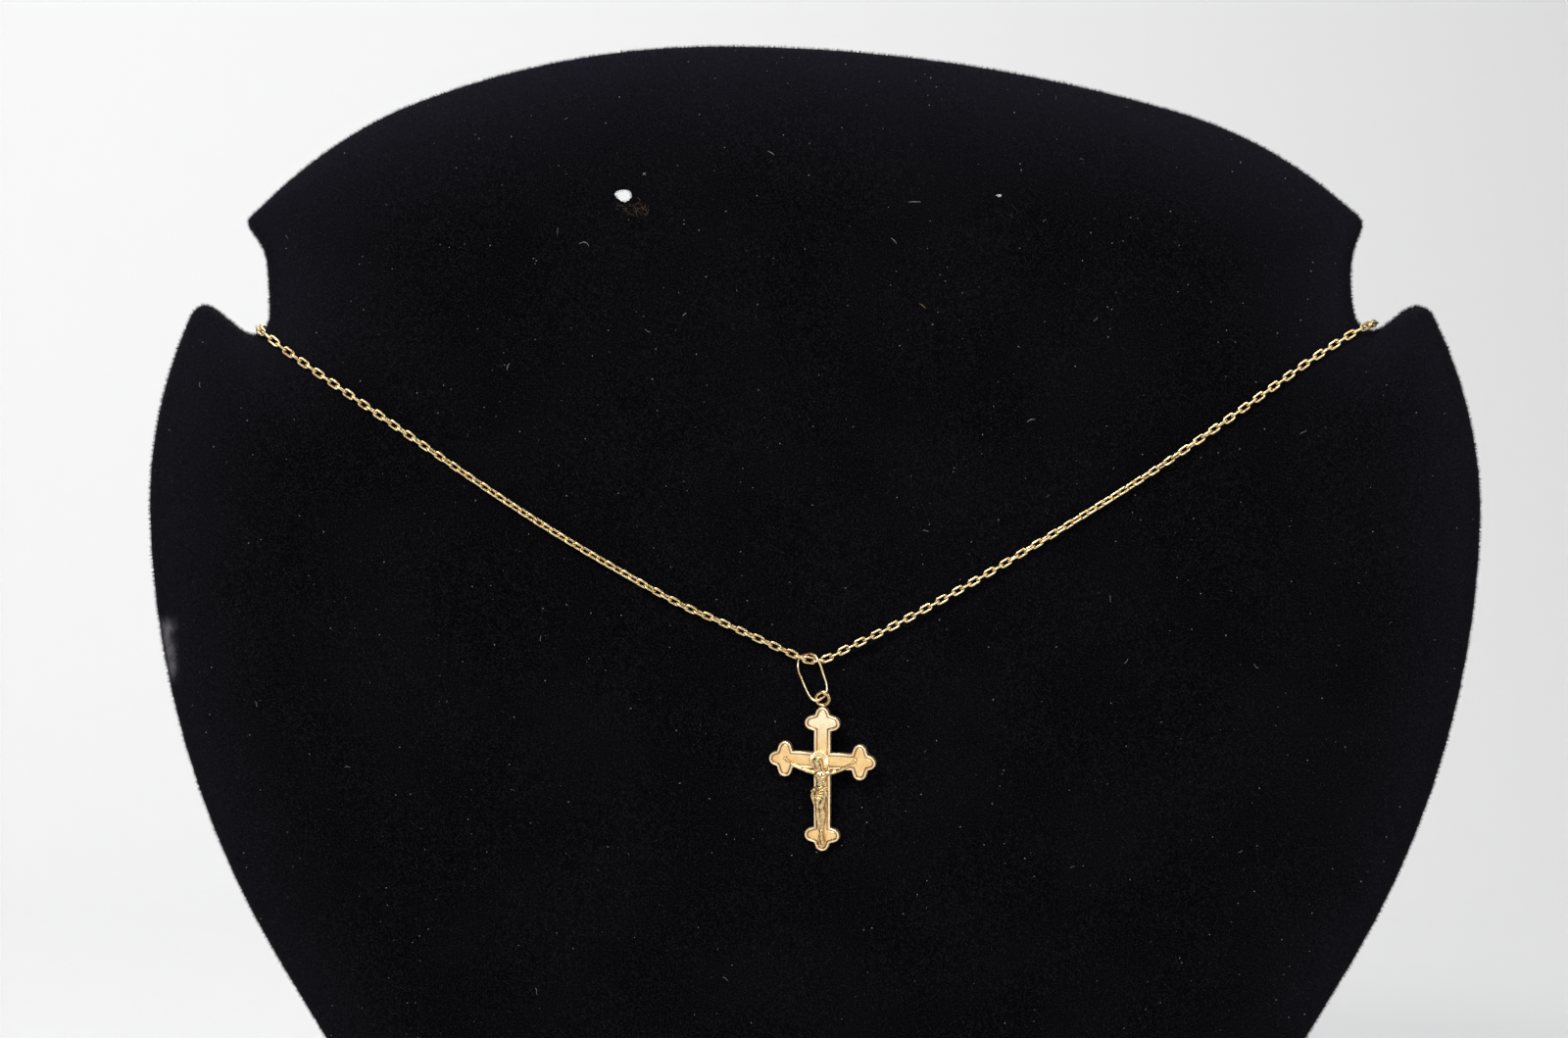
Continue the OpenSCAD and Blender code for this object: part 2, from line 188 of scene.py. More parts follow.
def new_mesh(name, points, faces, scale=MM):
    """Smooth mesh from points in millimetres, its faces looking outward."""
    mesh = bpy.data.meshes.new(name)
    mesh.from_pydata([tuple(c * scale for c in p) for p in points], [], faces)
    with opened(mesh) as build:
        bmesh.ops.recalc_face_normals(build, faces=build.faces)
    mesh.shade_smooth()
    return mesh


def new_piece(name, mesh, material=None):
    piece = bpy.data.objects.new(name, mesh)
    bpy.context.scene.collection.objects.link(piece)
    if material:
        mesh.materials.clear()
        mesh.materials.append(material)
    return piece


def skin(rings, loop=False):
    """Points and faces of a closed skin over rings of equal length."""
    size, count = len(rings[0]), len(rings)
    points = [tuple(p) for ring in rings for p in ring]
    faces = []
    for k in range(count if loop else count - 1):
        for i in range(size):
            j, q = (i + 1) % size, (k + 1) % count
            faces.append((k * size + i, q * size + i, q * size + j, k * size + j))
    if not loop:
        faces.append(tuple(range(size)))
        faces.append(tuple((count - 1) * size + i for i in reversed(range(size))))
    return points, faces


def spline(points, steps, loop=False):
    """Smooth curve through the points, with the given steps between two of them."""
    p = [np.array(q, float) for q in points]
    count = len(p)
    curve = []
    for i in range(count if loop else count - 1):
        a = p[(i - 1) % count] if loop else p[max(i - 1, 0)]
        b, c = p[i], p[(i + 1) % count]
        d = p[(i + 2) % count] if loop else p[min(i + 2, count - 1)]
        for k in range(steps):
            t = k / steps
            curve.append(
                b
                + (c - a) * t / 2
                + (2 * a - 5 * b + 4 * c - d) * t * t / 2
                + (3 * b - a - 3 * c + d) * t**3 / 2
            )
    return curve if loop else curve + [p[-1]]


def joined(parts):
    """One list of points and faces from several."""
    points, faces = [], []
    for some_points, some_faces in parts:
        base = len(points)
        points += [tuple(p) for p in some_points]
        faces += [tuple(base + i for i in face) for face in some_faces]
    return points, faces


def circle_route(middle, radius, steps, gap=0.0):
    """Points round an upright circle, open by a gap in degrees at its top."""
    x, y, z = middle
    points = []
    for i in range(steps + 1 if gap else steps):
        a = math.radians(90 + gap / 2 + (360 - gap) * i / steps)
        points.append((x + radius * math.cos(a), y, z + radius * math.sin(a)))
    return points


def tube(points, radii, sides=12, loop=False):
    """Points and faces of a round tube whose radius changes along its points."""
    p = [np.array(q, float) for q in points]
    count = len(p)
    up = None
    rings = []
    for i in range(count):
        a = p[(i - 1) % count] if loop else p[max(i - 1, 0)]
        b = p[(i + 1) % count] if loop else p[min(i + 1, count - 1)]
        along = (b - a) / np.linalg.norm(b - a)
        if up is None:
            up = np.array([0.0, 1.0, 0.0]) if abs(along[1]) < 0.8 else np.array([1.0, 0, 0])
        side = np.cross(along, up)
        side /= np.linalg.norm(side)
        up = np.cross(side, along)
        r = radii[i] if hasattr(radii, "__len__") else radii
        turns = [2 * math.pi * s / sides for s in range(sides)]
        rings.append([p[i] + r * (side * math.cos(t) + up * math.sin(t)) for t in turns])
    return skin(rings, loop)


def ball(middle, radii, turn=None, rings=10, sides=16):
    """Points and faces of an ellipsoid in millimetres."""
    points = [(0, 0, 1)]
    for k in range(1, rings):
        a = math.pi * k / rings
        for s in range(sides):
            b = 2 * math.pi * s / sides
            points.append((math.sin(a) * math.cos(b), math.sin(a) * math.sin(b), math.cos(a)))
    points.append((0, 0, -1))
    faces = [(0, 1 + s, 1 + (s + 1) % sides) for s in range(sides)]
    for k in range(rings - 2):
        for s in range(sides):
            a, b = 1 + k * sides + s, 1 + k * sides + (s + 1) % sides
            faces.append((a, a + sides, b + sides, b))
    last = len(points) - 1
    base = last - sides
    faces += [(last, base + (s + 1) % sides, base + s) for s in range(sides)]
    shaped = np.array(points) * np.array(radii)
    if turn is not None:
        shaped = shaped @ np.array(turn.to_3x3()).T
    return [tuple(q + np.array(middle)) for q in shaped], faces


def even_out(carrier, voxel, rounds):
    """Makes one skin of even faces from what overlaps, and softens it."""
    remesh = carrier.modifiers.new("even", "REMESH")
    remesh.mode = "VOXEL"
    remesh.voxel_size = voxel
    soft = carrier.modifiers.new("soft", "SMOOTH")
    soft.factor = 0.5
    soft.iterations = rounds


def plain(carrier):
    """The carrier's evaluated mesh. The carrier goes away."""
    depsgraph = bpy.context.evaluated_depsgraph_get()
    seen = carrier.evaluated_get(depsgraph)
    made = bpy.data.meshes.new_from_object(seen, depsgraph=depsgraph)
    bpy.data.objects.remove(carrier)
    return made


def fused(name, parts):
    """Closed parts fused into one skin, in millimetres like them."""
    carrier = new_piece(name, new_mesh(name, *joined(parts), scale=1))
    even_out(carrier, 0.04, 1)
    return plain(carrier)


def rows_of(items, key, wide=3, kind=float):
    """One property of all points or edges, in rows."""
    values = np.empty(len(items) * wide, kind)
    items.foreach_get(key, values)
    return values.reshape(-1, wide)


def mark_points(mesh, name, values):
    """Gives each point of the mesh a number."""
    mesh.attributes.new(name, "FLOAT", "POINT").data.foreach_set("value", values)


def mark_relief(mesh, **scales):
    """Marks how far each point stands out, for painted highlight and shade: name=(rounds of
    evening, millimetres).
    """
    count = len(mesh.vertices)
    at = rows_of(mesh.vertices, "co")
    normals = rows_of(mesh.vertex_normals, "vector")
    edges = rows_of(mesh.edges, "vertices", 2, np.int64)
    here, there = edges.ravel(), edges[:, ::-1].ravel()
    links = np.maximum(np.bincount(here, minlength=count), 1)
    for name, (rounds, depth) in scales.items():
        even = at
        for _ in range(rounds):
            sums = [np.bincount(here, even[there, k], minlength=count) for k in range(3)]
            even = np.stack(sums, 1) / links[:, None]
        relief = ((at - even) * normals).sum(1) / depth
        mark_points(mesh, name, np.clip(relief, -1, 1))


# geometry node tools
SIZE_KINDS = {int: "NodeSocketInt", float: "NodeSocketFloat"}


def new_tree(name, sizes):
    """Geometry Nodes tree with named sizes. Returns its graph and its inputs."""
    tree = bpy.data.node_groups.new(name, "GeometryNodeTree")
    face = tree.interface
    face.new_socket("Geometry", in_out="INPUT", socket_type="NodeSocketGeometry")
    for size, value in sizes.items():
        socket = face.new_socket(size, in_out="INPUT", socket_type=SIZE_KINDS[type(value)])
        socket.default_value = value
    face.new_socket("Geometry", in_out="OUTPUT", socket_type="NodeSocketGeometry")
    graph = Graph(tree)
    return graph, graph.node("NodeGroupInput")


def close_tree(graph, geometry, material, smooth=True):
    """Ends a tree in Realize Instances and Set Material, and returns it."""
    real = graph.node("GeometryNodeRealizeInstances", Geometry=geometry)
    shaded = graph.node("GeometryNodeSetShadeSmooth", Geometry=real, Shade_Smooth=smooth)
    done = graph.node("GeometryNodeSetMaterial", Geometry=shaded, Material=material)
    graph.node("NodeGroupOutput", Geometry=done)
    return graph.tree


def grown(name, mesh, tree, **sizes):
    """New piece from what the tree grows on a mesh."""
    carrier = new_piece(name + "_carrier", mesh)
    modifier = carrier.modifiers.new("grow", "NODES")
    modifier.node_group = tree
    for item in tree.interface.items_tree:
        size = item.name.replace(" ", "_")
        if item.in_out == "INPUT" and size in sizes:
            modifier[item.identifier] = sizes[size]
    return new_piece(name, plain(carrier))


def round_wire(graph, route, radius, sides, capped=False):
    """Round wire along a curve."""
    profile = graph.node("GeometryNodeCurvePrimitiveCircle", Resolution=sides, Radius=radius)
    return graph.node(
        "GeometryNodeCurveToMesh", Curve=route, Profile_Curve=profile, Fill_Caps=capped
    )


def aligned(graph, axis, vector, **more):
    """Rotation that points an axis along a vector."""
    return graph.node("FunctionNodeAlignRotationToVector", axis=axis, Vector=vector, **more)


def turned(graph, rotation, axis, angle):
    """A rotation turned further about one of its own axes."""
    turn = graph.node("FunctionNodeAxisAngleToRotation", Axis=axis, Angle=angle)
    return graph.node(
        "FunctionNodeRotateRotation", rotation_space="LOCAL", Rotation=rotation, Rotate_By=turn
    )


# finishes
def velvet_finish():
    """Black velvet, with painted sheen: its colour is made paler and bluer towards the board's
    padded sides.
    """
    graph = Finish(
        "velvet_pile",
        Roughness=0.95,
        Sheen_Weight=0.03,
        Sheen_Roughness=0.4,
        Sheen_Tint=(0.8, 0.8, 0.9, 1),
        Specular_IOR_Level=0.03,
    )
    place = graph.millimetres()
    edge = graph.mark("edge")
    worn = graph.mark("worn")
    cloud = graph.noise(place, 0.045, 3)
    nap = graph.noise(place, 4.2, 4, 0.7)
    pile = graph.noise(place, 7.0, 2, 0.6)
    base = graph.mix(rgb(1, 1, 2), rgb(4, 4, 6), cloud.rise(0.35, 0.7))
    base = graph.mix(base, rgb(25, 24, 28), nap.rise(0.44, 0.72) * 0.8)
    # Painted sheen: paler, bluish velvet towards the board's sides
    base = graph.mix(base, rgb(24, 23, 30), edge * nap.rise(0.3, 0.7, 0.4, 1.0))
    base = graph.mix(base, rgb(112, 110, 116), worn * pile.rise(0.35, 0.6, 0.25, 1.0))
    return graph.done(Base_Color=base, Normal=graph.bump(nap * 0.6 + pile * 0.4, 0.6, 0.12))


def gold_finish(name, light, deep, rough, grain, dents, depth):
    """Yellow gold: its two tones, roughness, and grain and dents per millimetre."""
    graph = Finish(name, Metallic=1.0, Roughness=rough)
    place = graph.millimetres()
    tone = graph.noise(place, dents, 3)
    fine = graph.noise(place, grain, 3, 0.6)
    relief = graph.mark("relief")
    swell = graph.mark("swell")
    height = relief * 0.6 + swell * 0.6
    base = graph.mix(deep, light, tone.rise(0.3, 0.65))
    # Painted highlight: raised crests and swells are made paler
    base = graph.mix(base, light, height.rise(0.05, 0.6))
    # Painted shade, partly patina in the fine hollows: hollows and low parts are made dark brown
    base = graph.mix(base, (0.30, 0.15, 0.05, 1), height.rise(-0.05, -0.6) * 0.9)
    rough = fine.rise(0.3, 0.7, rough * 0.75, rough * 1.35)
    return graph.done(Base_Color=base, Roughness=rough, Normal=graph.bump(fine + tone, depth, 0.02))


def pebbled_finish():
    """Satin gold panel with the fine pebbles of the casting mould."""
    graph = Finish("pebbled_gold", Metallic=1.0, Roughness=0.36)
    place = graph.millimetres()
    pebble = graph.node(
        "ShaderNodeTexVoronoi", feature="SMOOTH_F1", Vector=place, Scale=6.5, Smoothness=1.0
    )
    cloud = graph.noise(place, 0.8, 2)
    height = graph.node("ShaderNodeSeparateXYZ", out="Z", Vector=place)
    base = graph.mix((0.92, 0.58, 0.24, 1), (0.98, 0.73, 0.37, 1), cloud.rise(0.35, 0.65))
    base = graph.mix(base, (0.62, 0.34, 0.13, 1), pebble.rise(0.45, 0.85) * 0.22)
    # Painted highlight: the top lobe is made paler
    base = graph.mix(base, (1.0, 0.95, 0.70, 1), height.rise(80.5, 85.5) * 0.85)
    rough = cloud.rise(0.3, 0.7, 0.3, 0.44)
    return graph.done(Base_Color=base, Roughness=rough, Normal=graph.bump(1 - pebble, 0.3, 0.05))


def paper_finish(name, tone, pale):
    """Matt paper over board, with a fine grain."""
    graph = Finish(name, Roughness=0.8)
    place = graph.millimetres()
    grain = graph.noise(place, 3.0, 4, 0.7)
    cloud = graph.noise(place, 0.06, 3)
    base = graph.mix(tone, pale, cloud.rise(0.3, 0.75) * 0.6 + grain * 0.25)
    rough = grain.rise(0.3, 0.7, 0.7, 0.9)
    return graph.done(Base_Color=base, Roughness=rough, Normal=graph.bump(grain, 0.3, 0.08))


def plain_finish(name, tone, rough):
    """Matt finish of nearly one tone."""
    graph = Finish(name, Roughness=rough)
    place = graph.millimetres()
    cloud = graph.noise(place, 0.004, 2)
    darker = tuple(c * 0.97 for c in tone[:3]) + (1,)
    return graph.done(Base_Color=graph.mix(darker, tone, cloud))


velvet = velvet_finish()
chain_gold = gold_finish(
    "chain_gold", (0.97, 0.79, 0.44, 1), (0.70, 0.49, 0.23, 1), 0.24, 6, 1.2, 0.08
)
bail_gold = gold_finish(
    "bail_gold", (1.0, 0.83, 0.53, 1), (0.84, 0.60, 0.34, 1), 0.3, 5, 0.9, 0.1
)
rim_gold = gold_finish(
    "rim_gold", (1.0, 0.81, 0.53, 1), (0.95, 0.69, 0.41, 1), 0.38, 7, 1.4, 0.15
)
# Painted shade: a darker copy of the same gold, for the figure and the hanging ring
figure_gold = gold_finish(
    "figure_gold", (0.82, 0.60, 0.31, 1), (0.34, 0.22, 0.09, 1), 0.2, 6, 1.6, 0.15
)
# Painted light: a paler copy of the same gold, for the halo
halo_gold = gold_finish(
    "halo_gold", (1.0, 0.88, 0.62, 1), (0.93, 0.72, 0.42, 1), 0.32, 6, 1.6, 0.15
)
pebbled_gold = pebbled_finish()
black_paper = paper_finish("black_paper", rgb(22, 22, 24), rgb(40, 40, 43))
lint_fibre = plain_finish("lint_fibre", rgb(128, 126, 122), 0.9)
nap_hair = plain_finish("nap_hair", rgb(34, 33, 38), 0.8)
gold_fluff = plain_finish("gold_fluff", rgb(96, 74, 46), 0.7)


# velvet board
HOLE_Z = 164.7
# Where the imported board's two holes are, and the size of the plugs that fill them
PLUG_X, PLUG_R = 28.75, 2
# The photo's earring holes: x, z, half width, half height, raggedness
HOLES = ((-29.4, HOLE_Z, 1.25, 1.0, 0.09), (28.1, HOLE_Z, 0.42, 0.2, 0.2))
# Worn spots on the left edge: x, z, half width, half height
WORN_SPOTS = (
    (-99.5, 98.6, 0.9, 0.9), (-99.6, 97.0, 0.6, 1.4),
    (-99.1, 94.8, 0.7, 1.6), (-98.8, 92.6, 0.6, 1.5),
)


def plugged_board():
    """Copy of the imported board, its doubles merged and its two holes filled."""
    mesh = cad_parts["board"].data.copy()
    mesh.name = "board_copy"
    turn = Matrix.Rotation(math.pi / 2, 4, "X")
    with opened(mesh) as build:
        bmesh.ops.remove_doubles(build, verts=build.verts, dist=0.000002)
        for x in (-PLUG_X, PLUG_X):
            middle = Vector((x, (FACE_Y + BACK_Y) / 2, HOLE_Z)) * MM
            bmesh.ops.create_cone(
                build, cap_ends=True, segments=32, radius1=PLUG_R * MM, radius2=PLUG_R * MM,
                depth=(BACK_Y - FACE_Y) * MM, matrix=Matrix.Translation(middle) @ turn,
            )
    mesh.materials.clear()
    return mesh


def hole_cutter(hole, seed):
    """Closed ragged hole through the board, wider at the back along the sight lines."""
    x, z, wide, tall, ragged = hole
    steps = 44
    rng = np.random.default_rng(seed)
    rough = rng.normal(0, 1, steps)
    rough = (rough + np.roll(rough, 1)) / 2
    rings = []
    for y in (FACE_Y - 2, BACK_Y + 2):
        deep = (y - FACE_Y) / EYE_REACH
        wider = 1 + 14 * deep
        ring = []
        for i in range(steps):
            a = 2 * math.pi * i / steps
            # Nearly flat on top, narrower and torn below
            up, down = max(math.sin(a), 0), max(-math.sin(a), 0)
            torn = wider * (1 + ragged * rough[i] * (1 if up < 0.2 else 0.35))
            across = wide * torn * (1 - 0.3 * down) * math.cos(a) + 0.15 * down
            rise = tall * torn * (0.9 * up**0.6 - down)
            ring.append((x + (x - EYE_X) * deep + across, y, z + (z - EYE_Z) * deep + rise))
        rings.append(ring)
    return new_piece("hole_cutter", new_mesh("hole_cutter", *skin(rings)))


def board_skin():
    """The padded board as one even mesh with its ragged holes."""
    carrier = new_piece("board_carrier", plugged_board())
    even_out(carrier, 1.0 * MM, 2)
    cutters = [hole_cutter(hole, seed) for seed, hole in enumerate(HOLES)]
    for cutter in cutters:
        cut = carrier.modifiers.new("hole", "BOOLEAN")
        cut.operation = "DIFFERENCE"
        cut.solver = "EXACT"
        cut.object = cutter
    mesh = plain(carrier)
    for cutter in cutters:
        bpy.data.objects.remove(cutter)
    return mesh


def reach_from_rim(place, normal):
    """How far each point lies from the board's sides, in millimetres."""
    rims = place[np.abs(normal[:, 1]) < 0.35]
    tree = KDTree(len(rims))
    for i, p in enumerate(rims):
        tree.insert((p[0], 0, p[2]), i)
    tree.balance()
    return np.array([tree.find((p[0], 0, p[2]))[2] for p in place])


def board_velvet():
    """The board's velvet, softly uneven, with marks for its painted sheen towards the sides, its
    wear and its fuzz.
    """
    mesh = board_skin()
    place = rows_of(mesh.vertices, "co") / MM
    normal = rows_of(mesh.vertex_normals, "vector")
    reach = reach_from_rim(place, normal)
    x, z = place[:, 0], place[:, 2]
    front = normal[:, 1] < 0.2
    # Painted sheen: the velvet is made paler towards the board's sides, more so high up, and by a
    # fixed share on its back
    high = np.clip((z - 30) / 150, 0, 1)
    edge = np.clip(1 - reach / (15 + 13 * high), 0, 1) ** 1.8 * (0.5 + 0.5 * high)
    edge = np.where(front, edge, 0.6)
    fuzz = np.clip(1.2 - reach / 2.2, 0, 1)
    worn = np.zeros(len(place))
    for spot_x, spot_z, wide, tall in WORN_SPOTS:
        gap = ((x - spot_x) / wide) ** 2 + ((z - spot_z) / tall) ** 2
        worn = np.maximum(worn, np.exp(-gap) * front)
    uneven = 0.10 * np.sin(x * 0.11 + 1.3 * np.sin(z * 0.07))
    uneven += 0.08 * np.sin(z * 0.13 + 1.1 * np.sin(x * 0.09))
    flat = np.clip((reach - 6) / 8, 0, 1) * (normal[:, 1] < -0.8)
    for hole_x, hole_z, wide, tall, _ in HOLES:
        gap = np.hypot((x - hole_x) / wide, (z - hole_z) / tall)
        flat *= np.clip((gap - 2) / 3, 0, 1)
        fuzz = np.maximum(fuzz, 0.2 * np.clip(2.2 - gap, 0, 1) * (gap > 0.9))
    place[:, 1] += uneven * flat
    mesh.vertices.foreach_set("co", (place * MM).ravel())
    for name, values in (("edge", edge), ("worn", worn), ("fuzz", fuzz)):
        mark_points(mesh, name, values)
    mesh.update()
    mesh.shade_smooth()
    return new_piece("velvet_board", mesh, velvet)


def fibre_tree():
    """Short fibres that stand on a mesh, denser where its fuzz mark is high."""
    sizes = {"Per Square Metre": 1.05e7, "Length": 0.00052, "Width": 0.000032}
    graph, start = new_tree("pile_fibres", sizes)
    fuzz = graph.node("GeometryNodeInputNamedAttribute", data_type="FLOAT", Name="fuzz")
    spread = graph.node(
        "GeometryNodeDistributePointsOnFaces",
        Mesh=start["Geometry"], Density=fuzz * start["Per Square Metre"], Seed=4,
    )
    hair = graph.node(
        "GeometryNodeMeshCone",
        fill_type="NONE", Vertices=3, Radius_Top=0.0, Radius_Bottom=start["Width"],
        Depth=start["Length"],
    )
    lean = graph.node(
        "FunctionNodeRandomValue",
        (-0.6, -0.6, -0.6), (0.6, 0.6, 0.6), data_type="FLOAT_VECTOR", Seed=7,
    )
    away = graph.node("ShaderNodeVectorMath", spread["Normal"], lean, operation="ADD")
    hairs = graph.node(
        "GeometryNodeInstanceOnPoints",
        Points=spread, Instance=hair, Rotation=aligned(graph, "Z", away),
        Scale=graph.random(0.5, 1.3, 9),
    )
    return close_tree(graph, hairs, velvet, False)


def scatter(graph, start, shape, density, seed, low, high, spin=6.28):
    """Copies of a shape that lie on the incoming mesh, turned about its normal."""
    spread = graph.node(
        "GeometryNodeDistributePointsOnFaces",
        Mesh=start["Geometry"], Density=start[density], Seed=seed,
    )
    facing = aligned(graph, "Z", (0, -1, 0))
    upright = aligned(graph, "X", (0, 0, 1), pivot_axis="Z", Rotation=facing)
    spun = turned(graph, upright, (0, 0, 1), graph.random(-spin / 2, spin / 2, seed + 1))
    lying = turned(graph, spun, (0, 1, 0), graph.random(0.0, 0.35, seed + 2))
    return graph.node(
        "GeometryNodeInstanceOnPoints",
        Points=spread, Instance=shape, Rotation=lying, Scale=graph.random(low, high, seed),
    )


def bent_thread(graph, radius, length, sides=4, steps=6):
    """Thin bent thread along X, its middle at the origin."""
    half = length / 2
    bend = graph.node(
        "GeometryNodeCurvePrimitiveBezierSegment",
        Resolution=steps,
        Start=(-half, 0, 0),
        Start_Handle=(-half * 0.4, half * 0.6, half * 0.2),
        End_Handle=(half * 0.4, -half * 0.4, half * 0.2),
        End=(half * 0.9, half * 0.2, 0),
    )
    return round_wire(graph, bend, radius, sides, True)


def lint_tree(name, material):
    """Specks and bent threads of lint that lie on a mesh."""
    sizes = {
        "Specks Per Square Metre": 26000.0, "Threads Per Square Metre": 1500.0,
        "Speck": 0.000055, "Thread": 0.000016,
    }
    graph, start = new_tree(name, sizes)
    speck = graph.node("GeometryNodeMeshIcoSphere", Radius=start["Speck"], Subdivisions=1)
    speck = graph.node("GeometryNodeTransform", Geometry=speck, Scale=(1.7, 1.0, 0.6))
    thread = bent_thread(graph, start["Thread"], 0.0007)
    specks = scatter(graph, start, speck, "Specks Per Square Metre", 3, 0.35, 1.5)
    threads = scatter(graph, start, thread, "Threads Per Square Metre", 8, 0.4, 1.8)
    both = graph.node("GeometryNodeJoinGeometry", Geometry=specks)
    graph.tree.links.new(threads.socket, both.socket.node.inputs["Geometry"])
    return close_tree(graph, both, material)


def nap_tree():
    """Pile hairs that lie out of line on the velvet and catch a little light."""
    sizes = {"Hairs Per Square Metre": 420000.0, "Hair": 0.000016}
    graph, start = new_tree("nap_hairs", sizes)
    hair = bent_thread(graph, start["Hair"], 0.00045, 3, 2)
    hairs = scatter(graph, start, hair, "Hairs Per Square Metre", 21, 0.3, 1.4, 2.4)
    return close_tree(graph, hairs, nap_hair, False)


def front_patch(mesh, x=0, z=0, wide=math.inf, tall=math.inf):
    """Copy of the mesh's front faces that lie in a spot, from its half sizes."""
    patch = bpy.data.meshes.new("front_patch")
    with opened(mesh, patch) as build:
        away = []
        for face in build.faces:
            at = face.calc_center_median() / MM
            if face.normal.y > -0.75 or math.hypot((at.x - x) / wide, (at.z - z) / tall) > 1:
                away.append(face)
        bmesh.ops.delete(build, geom=away, context="FACES")
    return patch


board = board_velvet()
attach(board, "root")
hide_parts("board")

pile = grown("pile_fibres", board.data.copy(), fibre_tree())
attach(pile, "root")

nap = grown("nap_hairs", front_patch(board.data), nap_tree())
lint = grown("lint", front_patch(board.data), lint_tree("lint", lint_fibre))
# Brown and gold fluff below the left hole, and a little below the right one
fluff = grown(
    "hole_fluff",
    front_patch(board.data, -27.7, 162.8, 2.5, 1.3),
    lint_tree("hole_fluff", gold_fluff),
    Specks_Per_Square_Metre=7.0e6,
    Threads_Per_Square_Metre=3.5e6,
    Speck=0.00003,
    Thread=0.00001,
)
dust = grown(
    "hole_dust",
    front_patch(board.data, 30.0, 161.9, 1.5, 1.2),
    lint_tree("hole_dust", nap_hair),
    Specks_Per_Square_Metre=3.0e5,
    Threads_Per_Square_Metre=2.0e6,
)
# Lint that the eye notices: x, z, length, slope in degrees, bend
THREADS = (
    (-26.2, 168.0, 0.7, 35, 0.1), (-26.2, 168.0, 0.6, -50, 0.1), (-35.4, 157.1, 1.6, -15, 0.6),
    (-20.0, 146.5, 0.8, 40, 0.1), (12.0, 157.8, 1.2, -45, 0.1), (15.2, 163.7, 1.9, 0, 0.05),
    (-6.8, 171.2, 1.2, -30, 0.1), (-47.0, 138.5, 1.1, 70, 0.2), (33.0, 130.2, 1.3, 20, 0.3),
    (-13.7, 162.3, 0.25, 30, 0.0), (-1.0, 167.8, 0.3, -20, 0.0), (-17.8, 159.4, 0.25, 60, 0.0),
    (31.5, 168.6, 0.35, 70, 0.0), (19.1, 152.6, 0.2, 0, 0.0), (19.9, 151.6, 0.2, 0, 0.0),
)
GOLD_THREADS = ((16.4, 147.8, 1.3, -38, 0.1),)


def placed_threads(name, rows, width, material):
    """Bent threads laid on the velvet, from rows of place, length, slope and bend."""
    parts = []
    for x, z, length, slope, bend in rows:
        a = math.radians(slope)
        points = []
        for k in range(7):
            t = k / 3 - 1
            u, v = t * length / 2, (1 - t * t) * bend * length / 2
            px, pz = x + u * math.cos(a) - v * math.sin(a), z + u * math.sin(a) + v * math.cos(a)
            hit = board.ray_cast((px * MM, -0.1, pz * MM), (0, 1, 0))
            points.append((px, hit[1].y / MM - 0.06, pz))
        parts.append(tube(points, [width * (0.4 + 0.6 * min(k, 6 - k) / 3) for k in range(7)], 5))
    return new_piece(name, new_mesh(name, *joined(parts)), material)


threads = placed_threads("lint_threads", THREADS, 0.055, lint_fibre)
gold_threads = placed_threads("gold_thread", GOLD_THREADS, 0.09, gold_fluff)
for piece in (nap, lint, fluff, dust, threads, gold_threads):
    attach(piece, "root")


# wires and chain
def wire_tree(name, material):
    """Round wire along a route, with named sizes."""
    graph, start = new_tree(name, {"Wire Radius": 0.0002, "Wire Sides": 12})
    route = graph.node("GeometryNodeMeshToCurve", Mesh=start["Geometry"])
    wire = round_wire(graph, route, start["Wire Radius"], start["Wire Sides"], True)
    return close_tree(graph, wire, material)


def route_mesh(name, points, loop=False):
    """Mesh of edges along points in millimetres from the velvet's face."""
    mesh = bpy.data.meshes.new(name)
    count = len(points)
    edges = [(i, (i + 1) % count) for i in range(count if loop else count - 1)]
    placed = [(p[0] * MM, (FACE_Y + p[1]) * MM, p[2] * MM) for p in points]
    mesh.from_pydata(placed, edges, [])
    return mesh


def chain_tree():
    """Interlocking links along a route, each a quarter turn from the last."""
    sizes = {
        "Links": 279, "Link Length": 0.0022, "Link Width": 0.00128, "Wire": 0.0004,
        "Wire Sides": 6, "Corner Steps": 3,
    }
    graph, start = new_tree("chain_links", sizes)
    route = graph.node("GeometryNodeMeshToCurve", Mesh=start["Geometry"])
    points = graph.node("GeometryNodeResampleCurve", Curve=route, Count=start["Links"])
    wire = start["Wire"]
    tall = start["Link Width"] - wire
    shape = graph.node(
        "GeometryNodeCurvePrimitiveQuadrilateral", Width=start["Link Length"] - wire, Height=tall
    )
    rounded = graph.node(
        "GeometryNodeFilletCurve",
        mode="POLY", Curve=shape, Count=start["Corner Steps"], Radius=tall * 0.42,
    )
    link = round_wire(graph, rounded, wire * 0.5, start["Wire Sides"])
    lying = aligned(graph, "X", graph.node("GeometryNodeInputTangent"))
    facing = aligned(graph, "Z", (0, -1, 0), pivot_axis="X", Rotation=lying)
    twist = graph.node("GeometryNodeInputNamedAttribute", data_type="FLOAT", Name="twist")
    number = graph.node("GeometryNodeInputIndex")
    spin = twist + (number % 2) * (math.pi / 2) + graph.random(-0.08, 0.08, 12)
    placed = turned(graph, facing, (1, 0, 0), spin)
    links = graph.node(
        "GeometryNodeInstanceOnPoints", Points=points, Instance=link, Rotation=placed
    )
    return close_tree(graph, links, chain_gold)


